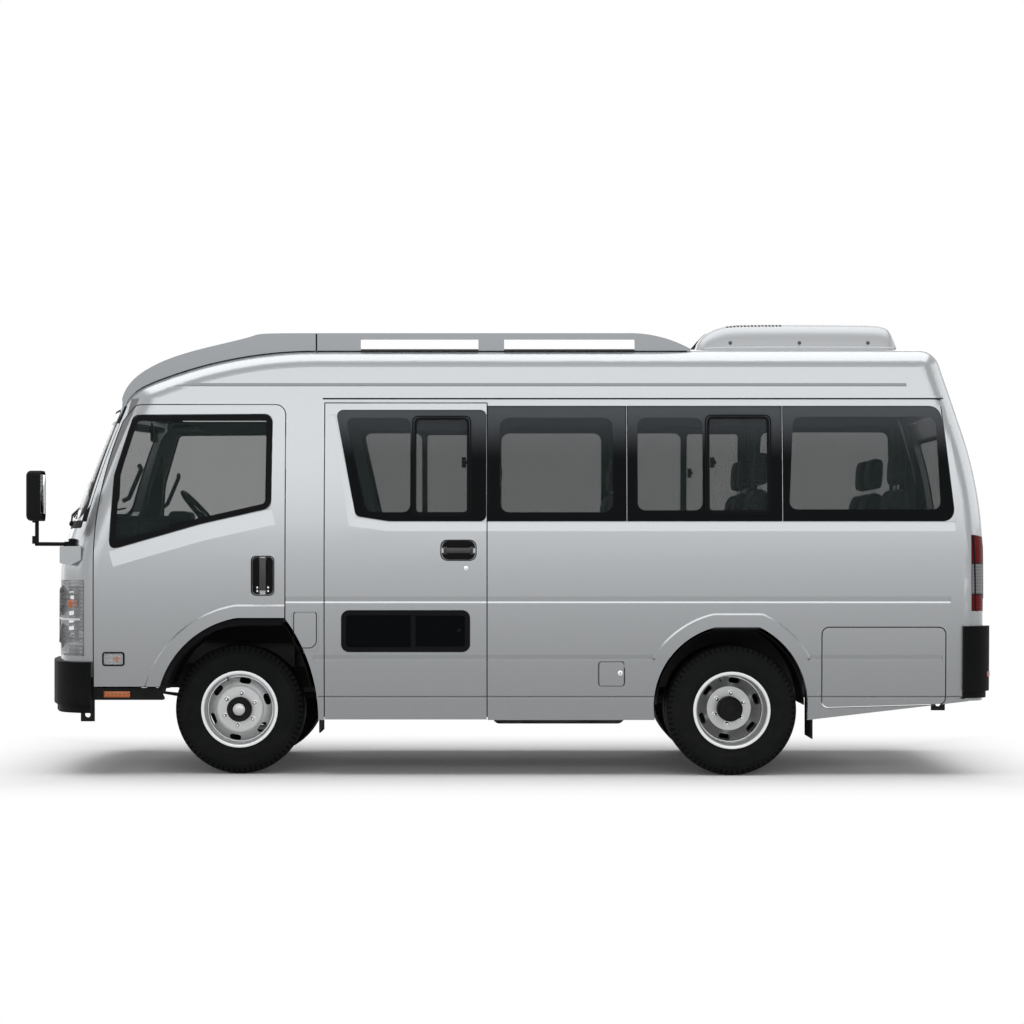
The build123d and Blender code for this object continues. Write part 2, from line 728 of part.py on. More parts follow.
with BuildPart() as arch_liner:
    add(liner(FRONT_ARCH, 26, block((1100, 1990), LEFT, (505, 900))))
    add(common(side_prism(grown(FRONT_ARCH, -30), (480, 485)), block((1100, 1990), LEFT, (752, 900))))
    add(liner(REAR_ARCH, 16, block((-1700, -800), LEFT, (400, 900))))
with BuildPart() as arch_liners:
    add(arch_liner.part)
    add(mirrored(arch_liner.part))
keep(arch_liners.part, "arch_liners")

RAIL_Y = 738.0
RAIL_HALF = 32.0
RAIL_TOP_Z = 2518.0
RAIL_TAIL_X = -1021.0
RAIL_BAR = 32.0
RAIL_SEAL = 0.5
RAIL_WINDOWS = ((864.0, 192.0), (45.0, -700.0))
with BuildSketch() as rail_side:
    with BuildLine():
        brow = Spline(
            (2228, 2146),
            (2076, 2317),
            (1847, 2409),
            (1503, 2495),
            (1100, RAIL_TOP_Z),
            tangents=[(-0.3, 1), (-1, 0)],
        )
        Line(brow @ 1, (-640, RAIL_TOP_Z))
        tail = ThreePointArc((-640, RAIL_TOP_Z), (-850, 2496), (RAIL_TAIL_X, 2428))
        Polyline(tail @ 1, (RAIL_TAIL_X, 2300), (1700, 2200), (2150, 2060), (2228, 2060), (2228, 2146))
    make_face()
with BuildPart() as roof_rail:
    add(side_prism(rail_side.sketch, (RAIL_Y - RAIL_HALF, RAIL_Y + RAIL_HALF)))
    for front, rear in RAIL_WINDOWS:
        add(block((rear, front), LEFT, (2300, RAIL_TOP_Z - RAIL_BAR)), mode=Mode.SUBTRACT)
    add(block((1113, 1122), LEFT, (2300, 2600)), mode=Mode.SUBTRACT)
    add(body_form(-RAIL_SEAL), mode=Mode.SUBTRACT)
with BuildPart() as roof_rails:
    add(roof_rail.part)
    add(mirrored(roof_rail.part))
keep(roof_rails.part, "roof_rails")

UNIT_SIDE = outline_of(
    [(-1086, 2380), (-1086, 2458), (-1185, 2603), (-2137, 2603), (-2212, 2572), (-2247, 2458), (-2247, 2380)],
    radius=22,
)
UNIT_END = outline_of([(-560, 2380), (-560, 2470), (-500, 2603), (500, 2603), (560, 2470), (560, 2380)])
with BuildPart() as air_conditioner:
    add(side_prism(UNIT_SIDE, (-700, 700)))
    add(end_prism(UNIT_END, (-3000, 0)), mode=Mode.INTERSECT)
    add(OUTER, mode=Mode.SUBTRACT)
keep(air_conditioner.part, "air_conditioner")

ARM = 11.0
MIRROR_Y = 985.0
MIRROR_X = (2640.0, 2720.0)
with BuildPart() as mirror_head:
    with BuildSketch(Plane.YZ.offset(MIRROR_X[0])):
        with Locations((MIRROR_Y, 1582)):
            RectangleRounded(176, 282, 34)
    extrude(amount=MIRROR_X[1] - MIRROR_X[0])
    fillet(mirror_head.faces().sort_by(Axis.X)[-1].edges(), radius=26)
    with BuildSketch(Plane.YZ.offset(MIRROR_X[0])):
        with Locations((MIRROR_Y, 1582)):
            RectangleRounded(156, 262, 26)
    extrude(amount=8, mode=Mode.SUBTRACT)
with BuildPart() as door_mirror:
    add(mirror_head.part)
    add(rod((2672, MIRROR_Y, 1305), (2672, MIRROR_Y, 1450), ARM))
    add(rod((2520, 850, 1312), (2672 + 6, MIRROR_Y + 5, 1312), ARM))
    add(rod((2520, 850, 1300), (2520, 850, 1326), 24))
with BuildPart() as mirrors:
    add(door_mirror.part)
    add(mirrored(door_mirror.part))
keep(mirrors.part, "mirrors")

# ---------------------------------------------------------------- cab and cabin
STEP_WELL_X = (125.0, 1078.0)
WELL_FOOT_Z = 330.0
WELL_INNER_Y = 500.0
BOX_WALL = 20.0
CAB_WALL_X = 1165.0
BOX_X = (-1720.0, -780.0)
BOX_HEAD_Z = 850.0
with BuildPart() as floor_pan:
    add(block((-2620, CAB_WALL_X - 20), (-900, 900), (FLOOR_Z - FLOOR_PLATE, FLOOR_Z)))
    add(block(STEP_WELL_X, (WELL_INNER_Y, 950), (300, 800)), mode=Mode.SUBTRACT)
    for side in (-1, 1):
        inner = side * 480
        box_x = (BOX_X[0] + BOX_WALL, BOX_X[1] - BOX_WALL)
        add(block(BOX_X, (inner - side * 15, side * 900), (FLOOR_Z - FLOOR_PLATE, BOX_HEAD_Z)))
        add(block(box_x, (inner, side * 1000), (FLOOR_Z - 100, BOX_HEAD_Z - BOX_WALL)), mode=Mode.SUBTRACT)
        add(block(box_x, (side * 455, side * 470), (480, FLOOR_Z)))
    add(INNER, mode=Mode.INTERSECT)
keep(floor_pan.part, "floor_pan")

with BuildPart() as cab_floor:
    add(block((CAB_WALL_X, 2330), (-900, 900), (CAB_FLOOR_Z - FLOOR_PLATE, CAB_FLOOR_Z)))
    add(block((CAB_WALL_X - 20, CAB_WALL_X + 20), (-900, 900), (FLOOR_Z - FLOOR_PLATE, CAB_FLOOR_Z)))
    for side in (-1, 1):
        add(block((FLAP_WALL_X, FLAP_WALL_X + 15), (side * 380, side * 900), (430, FLOOR_Z - FLOOR_PLATE)))
        add(block((FLAP_WALL_X, CAB_WALL_X), (side * 380, side * 900), (675, FLOOR_Z - FLOOR_PLATE)))
        add(block((CAB_WALL_X - 20, CAB_WALL_X), (side * 380, side * 900), (675, 700)))
    add(block((2290, 2330), (-900, 900), (600, CAB_FLOOR_Z)))
    add(block((1260, 1940), (-330, 330), (FLOOR_Z, 1060)))
    add(block((1240, 1920), (-310, 310), (FLOOR_Z - 100, 1040)), mode=Mode.SUBTRACT)
    add(INNER, mode=Mode.INTERSECT)
keep(cab_floor.part, "cab_floor")

with BuildPart() as step_well:
    add(block(STEP_WELL_X, (WELL_INNER_Y, 900), (WELL_FOOT_Z, FLOOR_Z)))
    inside_x = (STEP_WELL_X[0] + 15, STEP_WELL_X[1] - 15)
    add(block(inside_x, (WELL_INNER_Y + 15, 950), (WELL_FOOT_Z + 20, FLOOR_Z + 10)), mode=Mode.SUBTRACT)
    add(block(STEP_WELL_X, (866, 950), (300, FLOOR_Z + 10)), mode=Mode.SUBTRACT)
    add(INNER, mode=Mode.INTERSECT)
keep(step_well.part, "step_well")

SHAFT = 10.0
COLUMN_FOOT = (2240.0, -400.0, 1180.0)
COLUMN_HEAD = (1900.0, -400.0, 1480.0)
COLUMN_TOP = tuple(Vector(*COLUMN_HEAD) + (Vector(*COLUMN_FOOT) - Vector(*COLUMN_HEAD)).normalized() * 30)
with BuildPart() as dashboard:
    add(block((2130, 2600), (-880, 880), (1180, 1440)))
    add(block((2100, 2480), (-600, -200), (1400, 1490)))
    add(walls(WALL + 6), mode=Mode.INTERSECT)
    add(rod(COLUMN_FOOT, COLUMN_TOP, 34))
    add(rod(COLUMN_TOP, COLUMN_HEAD, SHAFT))
    add(rod((2255, COLUMN_FOOT[1], CAB_FLOOR_Z), (2255, COLUMN_FOOT[1], 1200), 20))
keep(dashboard.part, "dashboard")


def seat(x, y, width, cushion_z, back_top):
    """A cushion and a back as two soft blocks, with the seat's front edge at x."""
    lower = outline_of(
        [(x, cushion_z), (x, cushion_z + 130), (x - 465, cushion_z + 110), (x - 465, cushion_z)]
    )
    upper = outline_of(
        [(x - 470, cushion_z + 60), (x - 575, back_top), (x - 655, back_top), (x - 570, cushion_z + 60)]
    )
    span = (y - width / 2, y + width / 2)
    return side_prism(lower, span), side_prism(upper, span)


def seat_frame(x, y, width, foot, cushion_z):
    """Two side plates and a pan that carry one seat, and the posts of its back."""
    half = width / 2 - 30
    pan = block((x - 560, x - 20), (y - half, y + half), (cushion_z - 24, cushion_z - 0.3))
    over_box = BOX_X[0] < x - 420 and x - 90 < BOX_X[1]
    legs = []
    for side in (-1, 1):
        edge = y + side * half
        leg_foot = BOX_HEAD_Z if over_box and abs(edge) > 400 else foot
        legs.append(block((x - 420, x - 90), (edge, edge - side * 30), (leg_foot, cushion_z - 20)))
    return union(pan, *legs)


CAB_SEATS = [(1900, -560, 480), (1900, 560, 480)]
CAB_CUSHION_Z = 1065.0
CABIN_CUSHION_Z = 1020.0
CABIN_SEATS = [(690, -440, 800)]
for x in (-60, -850, -1640):
    CABIN_SEATS += [(x, -440, 800), (x, 640, 400)]

with BuildPart() as front_seats:
    for x, y, width in CAB_SEATS:
        lower, upper = seat(x, y, width, CAB_CUSHION_Z, 1760)
        add(lower)
        add(upper)
keep(front_seats.part, "front_seats")

with BuildPart() as passenger_seats:
    for x, y, width in CABIN_SEATS:
        lower, upper = seat(x, y, width, CABIN_CUSHION_Z, 1850)
        add(lower)
        add(upper)
keep(passenger_seats.part, "passenger_seats")

with BuildPart() as seat_frames:
    for x, y, width in CAB_SEATS:
        add(seat_frame(x, y, width, CAB_FLOOR_Z, CAB_CUSHION_Z))
    for x, y, width in CABIN_SEATS:
        add(seat_frame(x, y, width, FLOOR_Z, CABIN_CUSHION_Z))
keep(seat_frames.part, "seat_frames")

# ---------------------------------------------------------------- chassis
KICK_START_X = -350.0
TOW_PLATE = 18.0
TOW_HOLE = 17.0
TOW_EYES = ((2500.0, 310.0, FRAME_FOOT_Z), (-2510.0, 375.0, FRAME_FOOT_Z + FRAME_KICK))
TANK_INNER_Y = 370.0
SPRINGS = ((FRONT_AXLE_X, 445.0, 560.0, 59.0), (REAR_AXLE_X, 532.0, 480.0, 108.0))
with BuildPart() as ladder_frame:
    foot = FRAME_FOOT_Z
    top = FRAME_FOOT_Z + FRAME_WEB
    rail = outline_of(
        [
            (2560, foot),
            (KICK_START_X, foot),
            (KICK_START_X - 250, foot + FRAME_KICK),
            (-2600, foot + FRAME_KICK),
            (-2600, top + FRAME_KICK),
            (KICK_START_X - 250, top + FRAME_KICK),
            (KICK_START_X, top),
            (2560, top),
        ]
    )
    for side in (-1, 1):
        inner_y = side * (FRAME_OUT_Y - FRAME_FLANGE)
        add(side_prism(rail, (inner_y, side * FRAME_OUT_Y)))
    for x in (2400, 800, -300):
        add(block((x - 30, x + 30), (-300, 300), (top - 30, top)))
    for x in (-900, -1600, -2550):
        add(block((x - 30, x + 30), (-300, 300), (top + FRAME_KICK - 30, top + FRAME_KICK)))
    for side in (-1, 1):
        arm = block((2560, 2800), (side * 295, side * 350), (FRAME_FOOT_Z + 5, 550))
        add(common(arm, walls(0.5)))
    for x in (-220, 60):
        add(block((x, x + 40), (FRAME_OUT_Y, TANK_INNER_Y), (500, 570)))
    for axle, ends, half, drop in SPRINGS:
        for x in (axle - half - 12, axle + half + 12):
            for side in (-1, 1):
                add(block((x - 22, x + 22), (side * 350, side * 356), (ends - 14, ends + 60)))
                add(block((x - 22, x + 22), (side * 289, side * 295), (ends - 14, ends + 60)))
                add(rod((x, side * 286, ends + 4), (x, side * 358, ends + 4), 8))
    for x, z, rail_foot in TOW_EYES:
        add(block((x - 40, x + 40), (FRAME_OUT_Y - TOW_PLATE, FRAME_OUT_Y), (z - 40, rail_foot + 10)))
        add(rod((x, FRAME_OUT_Y - 60, z), (x, FRAME_OUT_Y + 20, z), TOW_HOLE), mode=Mode.SUBTRACT)
keep(ladder_frame.part, "ladder_frame")

EYE = 34.0
KINGPIN = 16.0
with BuildPart() as front_axle_beam:
    add(block((FRONT_AXLE_X - 35, FRONT_AXLE_X + 35), (-KINGPIN_Y, KINGPIN_Y), (335, 385)))
    for side in (-1, 1):
        y = side * KINGPIN_Y
        add(rod((FRONT_AXLE_X, y, 330), (FRONT_AXLE_X, y, 410), EYE))
        add(rod((FRONT_AXLE_X, y, 270), (FRONT_AXLE_X, y, 470), KINGPIN))
keep(front_axle_beam.part, "front_axle_beam")

with BuildPart() as rear_axle:
    add(rod((REAR_AXLE_X, -560, AXLE_Z), (REAR_AXLE_X, 560, AXLE_Z), 52))
    add(rod((REAR_AXLE_X, -780, AXLE_Z), (REAR_AXLE_X, 780, AXLE_Z), 30))
    with Locations((REAR_AXLE_X, 0, AXLE_Z)):
        Sphere(165)
keep(rear_axle.part, "rear_axle")

with BuildPart() as leaf_springs:
    for axle, ends, half, drop in SPRINGS:
        pad = ends - drop
        for side in (-1, 1):
            with BuildSketch(Plane.XZ.offset(-side * 322 - 25)):
                with BuildLine():
                    ThreePointArc((axle - half, ends), (axle, pad), (axle + half, ends))
                    Line((axle + half, ends), (axle + half, ends + 8))
                    ThreePointArc((axle + half, ends + 8), (axle, pad + 30), (axle - half, ends + 8))
                    Line((axle - half, ends + 8), (axle - half, ends))
                make_face()
                for x in (axle - half - 12, axle + half + 12):
                    with Locations((x, ends + 4)):
                        Circle(20)
                        Circle(8.05, mode=Mode.SUBTRACT)
            extrude(amount=50)
keep(leaf_springs.part, "leaf_springs")

with BuildPart() as engine:
    add(block((1290, 1890), (-250, 250), (430, 1000)))
    add(block((990, 1290), (-130, 130), (430, 660)))
keep(engine.part, "engine")

with BuildPart() as radiator:
    add(block((1946, 1996), (-270, 270), (592, 866)))
    for side in (-1, 1):
        add(block((1950, 1990), (side * 296, side * 326), (590, 640)))
        add(block((1950, 1990), (side * 250, side * 326), (610, 640)))
keep(radiator.part, "radiator")

with BuildPart() as propeller_shaft:
    add(rod((985, 0, 500), (REAR_AXLE_X + 170, 0, 385), 38))
keep(propeller_shaft.part, "propeller_shaft")

with BuildPart() as fuel_tank:
    add(block((-640, 110), (TANK_INNER_Y, 820), (290, 620)))
    fillet(fuel_tank.edges().filter_by(Axis.Y), radius=40)
keep(fuel_tank.part, "fuel_tank")

with BuildPart() as exhaust:
    add(rod((600, -560, 440), (0, -560, 440), 95))
    add(rod((1086, -420, 480), (590, -560, 440), 24))
    add(rod((10, -560, 440), (-400, -418, 492), 24))
    add(rod((-400, -418, 492), (-2560, -418, 492), 24))
keep(exhaust.part, "exhaust")

SPARE_X = -2146.0
SPARE_FOOT_Z = 362.0


def tyre(width_centre):
    """One tyre on an axle along Y, its centre at y = width_centre."""
    half = TYRE_WIDTH / 2
    with BuildPart() as ring:
        with BuildSketch(Plane.XY) as section:
            with BuildLine():
                Polyline(
                    (width_centre - half + 20, RIM_RADIUS - 12),
                    (width_centre - half, 262),
                    (width_centre - half, 315),
                    (width_centre - half + 22, TYRE_RADIUS - 8),
                    (width_centre - 40, TYRE_RADIUS),
                    (width_centre + 40, TYRE_RADIUS),
                    (width_centre + half - 22, TYRE_RADIUS - 8),
                    (width_centre + half, 315),
                    (width_centre + half, 262),
                    (width_centre + half - 20, RIM_RADIUS - 12),
                    close=True,
                )
            make_face()
        revolve(axis=Axis.X)
    return ring.part.rotate(Axis.Z, 90)


DISC = 9.0
SLOT_RADIUS = 163.0


def rim(width_centre, disc):
    """One pressed wheel: a flanged well, and a slotted disc out to its mounting face."""
    well = [(-90, 219), (-83, 219), (-83, 207.5), (83, 207.5), (83, 219), (90, 219), (90, 200), (76, 191)]
    well += [(-76, 191), (-90, 200)]
    face = [(disc, 40), (disc, 126), (disc * 0.9, 138), (disc * 0.55, 178), (disc * 0.4, 193)]
    back = [(at - DISC, radius) for at, radius in reversed(face)]
    with BuildPart() as wheel:
        with BuildSketch(Plane.XY) as section:
            for loop in (well, face + back):
                with BuildLine():
                    Polyline(*[(width_centre + at, radius) for at, radius in loop], close=True)
                make_face()
        revolve(axis=Axis.X)
        with BuildSketch(Plane.YZ.offset(width_centre + min(disc, 0) - 2 * DISC)):
            with PolarLocations(SLOT_RADIUS, 6, start_angle=20):
                SlotOverall(66, 32, rotation=90)
        extrude(amount=abs(disc) + 3 * DISC, mode=Mode.SUBTRACT)
    return wheel.part.rotate(Axis.Z, 90)


def at_axle(part, x):
    return part.moved(Location((x, 0, AXLE_Z)))


with BuildPart() as spare_wheel:
    add(tyre(0).rotate(Axis.X, 90).moved(Location((SPARE_X, 0, SPARE_FOOT_Z + TYRE_WIDTH / 2))))
    add(rim(0, 60).rotate(Axis.X, 90).moved(Location((SPARE_X, 0, SPARE_FOOT_Z + TYRE_WIDTH / 2))))
keep(spare_wheel.part, "spare_wheel")

# ---------------------------------------------------------------- steering
SPINDLE = 25.0
SPINDLE_END_Y = FRONT_WHEEL_Y + 86
HUB_END_Y = FRONT_WHEEL_Y + 98
with BuildPart() as knuckle:
    y = KINGPIN_Y
    add(rod((FRONT_AXLE_X, y, 270), (FRONT_AXLE_X, y, 328), EYE))
    add(rod((FRONT_AXLE_X, y, 412), (FRONT_AXLE_X, y, 470), EYE))
    add(block((FRONT_AXLE_X - 30, FRONT_AXLE_X + 30), (y + 36, y + 62), (270, 470)))
    add(block((FRONT_AXLE_X - 28, FRONT_AXLE_X + 28), (y, y + 40), (270, 326)))
    add(block((FRONT_AXLE_X - 28, FRONT_AXLE_X + 28), (y, y + 40), (414, 470)))
    add(rod((FRONT_AXLE_X, y + 60, AXLE_Z), (FRONT_AXLE_X, SPINDLE_END_Y, AXLE_Z), SPINDLE))
    add(block((FRONT_AXLE_X - STEERING_ARM - 14, FRONT_AXLE_X), (y - 14, y + 14), (304, 328)))
    add(rod((FRONT_AXLE_X - STEERING_ARM, y, 270), (FRONT_AXLE_X - STEERING_ARM, y, 328), 9))
    add(rod((FRONT_AXLE_X, y, 260), (FRONT_AXLE_X, y, 480), KINGPIN + PIN_FIT), mode=Mode.SUBTRACT)
with BuildPart() as left_knuckle:
    add(knuckle.part)
keep(left_knuckle.part, "left_knuckle")
with BuildPart() as right_knuckle:
    add(mirrored(knuckle.part))
keep(right_knuckle.part, "right_knuckle")

TIE_X = FRONT_AXLE_X - STEERING_ARM
with BuildPart() as tie_rod:
    add(rod((TIE_X, -KINGPIN_Y, 290), (TIE_X, KINGPIN_Y, 290), 11))
    add(rod((TIE_X, -KINGPIN_Y, 278), (TIE_X, -KINGPIN_Y, 302), 22))
    add(rod((TIE_X, KINGPIN_Y, 278), (TIE_X, KINGPIN_Y, 302), 22))
    add(rod((TIE_X, -KINGPIN_Y, 260), (TIE_X, -KINGPIN_Y, 320), 12), mode=Mode.SUBTRACT)
    add(rod((TIE_X, KINGPIN_Y, 260), (TIE_X, KINGPIN_Y, 320), 9 + PIN_FIT), mode=Mode.SUBTRACT)
keep(tie_rod.part, "tie_rod")

# wheels
for side, sign in (("left", 1), ("right", -1)):
    rolling = at_axle(tyre(FRONT_WHEEL_Y), FRONT_AXLE_X)
    disc = at_axle(rim(FRONT_WHEEL_Y, 70), FRONT_AXLE_X)
    cap = rod((FRONT_AXLE_X, FRONT_WHEEL_Y + 90, AXLE_Z), (FRONT_AXLE_X, FRONT_WHEEL_Y + 112, AXLE_Z), 34)
    hub = union(rod((FRONT_AXLE_X, y + 66, AXLE_Z), (FRONT_AXLE_X, HUB_END_Y, AXLE_Z), 66), cap)
    seat_end = (FRONT_AXLE_X, SPINDLE_END_Y + 2, AXLE_Z)
    hub = less(hub, rod((FRONT_AXLE_X, y, AXLE_Z), seat_end, SPINDLE + PIN_FIT))
    wheel = union(disc, hub)
    with BuildPart() as front_tyre:
        add(rolling if sign > 0 else mirrored(rolling))
    keep(front_tyre.part, "front_" + side + "_tyre")
    with BuildPart() as front_rim:
        add(wheel if sign > 0 else mirrored(wheel))
    keep(front_rim.part, "front_" + side + "_rim")
    twins = (REAR_WHEEL_Y - TWIN_SPACING / 2, REAR_WHEEL_Y + TWIN_SPACING / 2)
    rolling = union(*[at_axle(tyre(each), REAR_AXLE_X) for each in twins])
    inner_rim = at_axle(rim(twins[0], 100), REAR_AXLE_X)
    outer_rim = at_axle(rim(twins[1], -105), REAR_AXLE_X)
    hub = rod((REAR_AXLE_X, 566, AXLE_Z), (REAR_AXLE_X, 800, AXLE_Z), 70)
    hub = less(hub, rod((REAR_AXLE_X, 500, AXLE_Z), (REAR_AXLE_X, 782, AXLE_Z), 30 + PIN_FIT))
    wheel = union(inner_rim, outer_rim, hub)
    with BuildPart() as rear_tyres:
        add(rolling if sign > 0 else mirrored(rolling))
    keep(rear_tyres.part, "rear_" + side + "_tyres")
    with BuildPart() as rear_rims:
        add(wheel if sign > 0 else mirrored(wheel))
    keep(rear_rims.part, "rear_" + side + "_rims")

with BuildPart() as steering_wheel:
    column = Vector(*COLUMN_FOOT) - Vector(*COLUMN_HEAD)
    ring_plane = Plane(origin=COLUMN_HEAD, z_dir=-column.normalized())
    with BuildSketch(Plane(origin=COLUMN_HEAD, x_dir=ring_plane.x_dir, z_dir=ring_plane.y_dir)):
        with Locations((210, 0)):
            RegularPolygon(radius=15, side_count=8)
    revolve(axis=Axis(COLUMN_HEAD, ring_plane.z_dir))
    with BuildSketch(ring_plane.offset(-26)):
        Circle(52)
    extrude(amount=36)
    with BuildSketch(ring_plane.offset(-12)):
        with PolarLocations(120, 3, start_angle=90):
            Rectangle(180, 34)
    extrude(amount=12)
    with BuildSketch(ring_plane.offset(-40)):
        Circle(SHAFT + PIN_FIT)
    extrude(amount=41, mode=Mode.SUBTRACT)
keep(steering_wheel.part, "steering_wheel")
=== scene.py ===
import json
from math import cos, pi, radians, sin, sqrt

import bmesh
import bpy
from mathutils import Matrix, Vector
from mathutils.bvhtree import BVHTree


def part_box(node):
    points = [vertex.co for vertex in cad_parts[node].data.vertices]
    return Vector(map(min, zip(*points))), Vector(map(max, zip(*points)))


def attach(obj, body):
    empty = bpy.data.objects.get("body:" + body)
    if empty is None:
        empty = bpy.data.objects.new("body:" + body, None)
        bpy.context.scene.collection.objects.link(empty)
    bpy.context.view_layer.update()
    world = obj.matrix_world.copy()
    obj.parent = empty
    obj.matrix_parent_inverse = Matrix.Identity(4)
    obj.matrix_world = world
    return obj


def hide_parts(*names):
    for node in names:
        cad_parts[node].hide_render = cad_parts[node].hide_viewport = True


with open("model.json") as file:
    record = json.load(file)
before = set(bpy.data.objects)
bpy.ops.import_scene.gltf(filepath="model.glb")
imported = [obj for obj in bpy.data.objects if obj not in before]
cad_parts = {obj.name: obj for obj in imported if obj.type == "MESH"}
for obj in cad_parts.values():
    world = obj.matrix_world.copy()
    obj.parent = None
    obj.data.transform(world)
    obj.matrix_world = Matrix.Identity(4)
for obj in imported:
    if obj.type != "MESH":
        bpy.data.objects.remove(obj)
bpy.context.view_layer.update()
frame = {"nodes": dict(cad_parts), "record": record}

nodes = frame["nodes"]
scene = bpy.context.scene

# ---- places, in metres
FRONT_WHEEL = (1.555, 0.37)
REAR_WHEEL = (-1.245, 0.37)
WAIST = 1.0
HALF_WIDTH = 0.925
BARREL = 10.65
SIDES = (("left", 1), ("right", -1))
AXES = {"x": (1, 0, 0), "y": (0, 1, 0), "z": (0, 0, 1)}

# Each way of laying a piece: where its ray starts, far outside the vehicle, and the way that the ray goes.
FAR = 6
FACINGS = {
    "front": (lambda across, up: (FAR, across, up), (-1, 0, 0)),
    "rear": (lambda across, up: (-FAR, across, up), (1, 0, 0)),
    "top": (lambda across, up: (across, up, FAR), (0, 0, -1)),
    "left": (lambda across, up: (across, FAR, up), (0, -1, 0)),
    "right": (lambda across, up: (across, -FAR, up), (0, 1, 0)),
}


# ---- shapes
def rect(x0, x1, z0, z1):
    return [(x0, z0), (x1, z0), (x1, z1), (x0, z1)]


def sheet(corners, radius, steps):
    """A flat outline (across, up) in the plane y = 0, rounded at each corner."""
    bm = bmesh.new()
    bm.faces.new([bm.verts.new((across, 0, up)) for across, up in corners])
    if radius:
        bmesh.ops.bevel(
            bm, geom=bm.verts[:], offset=radius, affect="VERTICES", segments=steps, profile=0.5, material=-1
        )
    return bm


def raise_faces(bm, thick):
    """Give a flat sheet its thickness along y."""
    raised = bmesh.ops.extrude_face_region(bm, geom=bm.faces[:])
    lifted = [each for each in raised["geom"] if isinstance(each, bmesh.types.BMVert)]
    bmesh.ops.translate(bm, vec=(0, thick, 0), verts=lifted)
    return bm


def slab(corners, thick, radius=0.0, steps=4):
    """A flat plate from its corners, rounded at each, with its height along y."""
    return raise_faces(sheet(corners, radius, steps), thick)


def border(corners, width, thick, radius=0.0, steps=4):
    """A flat frame of even width inside an outline, with its height along y."""
    bm = sheet(corners, radius, steps)
    pane = bm.faces[:]
    bmesh.ops.inset_region(bm, faces=pane, thickness=width, use_even_offset=True, use_boundary=True)
    bmesh.ops.delete(bm, geom=pane, context="FACES")
    return raise_faces(bm, thick)


def brick(low, high, soft=0.0, steps=2):
    """A block between two corners with softened edges."""
    bm = bmesh.new()
    bmesh.ops.create_cube(bm, size=1)
    low, high = Vector(low), Vector(high)
    bmesh.ops.scale(bm, vec=high - low, verts=bm.verts)
    bmesh.ops.translate(bm, vec=(low + high) / 2, verts=bm.verts)
    if soft:
        bmesh.ops.bevel(
            bm, geom=bm.edges[:], offset=soft, affect="EDGES", segments=steps, profile=0.5, material=-1
        )
    return bm


def spun(profile, centre, steps=48, axis=(0, 1, 0)):
    """A turned piece: (along, radius) points swept round an axis through its centre."""
    bm = bmesh.new()
    line = [bm.verts.new((0, along, radius)) for along, radius in profile]
    edges = [bm.edges.new(pair) for pair in zip(line, line[1:])]
    bmesh.ops.spin(
        bm, geom=line + edges, cent=(0, 0, 0), axis=(0, 1, 0), angle=2 * pi, steps=steps, use_merge=True
    )
    turn = Vector((0, 1, 0)).rotation_difference(Vector(axis)).to_matrix().to_4x4()
    bmesh.ops.transform(bm, matrix=Matrix.Translation(centre) @ turn, verts=bm.verts)
    return bm


def tube(path, radius, sides=10):
    """A round bar along a path, mitred at each bend."""
    path = [Vector(point) for point in path]
    heading = (path[1] - path[0]).normalized()
    bm = bmesh.new()
    start = Matrix.Translation(path[0]) @ heading.to_track_quat("Z", "Y").to_matrix().to_4x4()
    bmesh.ops.create_circle(bm, cap_ends=True, segments=sides, radius=radius, matrix=start)
    tip = bm.faces[:]
    for index, here in enumerate(path[1:], 1):
        after = (path[index + 1] - here).normalized() if index + 1 < len(path) else heading
        cut = (heading + after).normalized()
        grown = bmesh.ops.extrude_face_region(bm, geom=tip)["geom"]
        ring = [each for each in grown if isinstance(each, bmesh.types.BMVert)]
        tip = [each for each in grown if isinstance(each, bmesh.types.BMFace)]
        for vertex in ring:
            vertex.co += heading * ((here - vertex.co).dot(cut) / heading.dot(cut))
        heading = after
    return bm


def joined(*parts):
    """Several shapes as one."""
    whole = bmesh.new()
    for part in parts:
        held = bpy.data.meshes.new("held")
        part.to_mesh(held)
        part.free()
        whole.from_mesh(held)
        bpy.data.meshes.remove(held)
    return whole


def scaled(bm, x=1, y=1, z=1):
    """The shape mirrored where a scale is -1, for the vehicle's other side."""
    bmesh.ops.scale(bm, vec=(x, y, z), verts=bm.verts)
    return bm


def sliced(bm, **cuts):
    """Cut a flat piece across at even steps, axis=(start, stop, count), so that it can follow a curve."""
    for axis, (start, stop, count) in cuts.items():
        way = AXES[axis]
        for index in range(1, count):
            cut = Vector(way) * (start + (stop - start) * index / count)
            everything = bm.verts[:] + bm.edges[:] + bm.faces[:]
            bmesh.ops.bisect_plane(bm, geom=everything, dist=1e-5, plane_co=cut, plane_no=way)
    return bm


def skin_y(z):
    """Half the body's width at a height."""
    return HALF_WIDTH - BARREL + sqrt(BARREL**2 - (z - WAIST) ** 2)


def on_side(bm, lift=0.0, side=1):
    """Lay a flat piece on the barrelled side: its y becomes its height above the skin."""
    for vertex in bm.verts:
        vertex.co.y = side * (skin_y(vertex.co.z) + lift + vertex.co.y)
    return bm


def surface(*shapes):
    """The outer surface of some CAD nodes or pieces, to lay pieces on."""
    points, faces = [], []
    for shape in shapes:
        mesh = (nodes[shape] if isinstance(shape, str) else shape).data
        first = len(points)
        points += [vertex.co.copy() for vertex in mesh.vertices]
        faces += [[first + index for index in face.vertices] for face in mesh.polygons]
    return BVHTree.FromPolygons(points, faces)


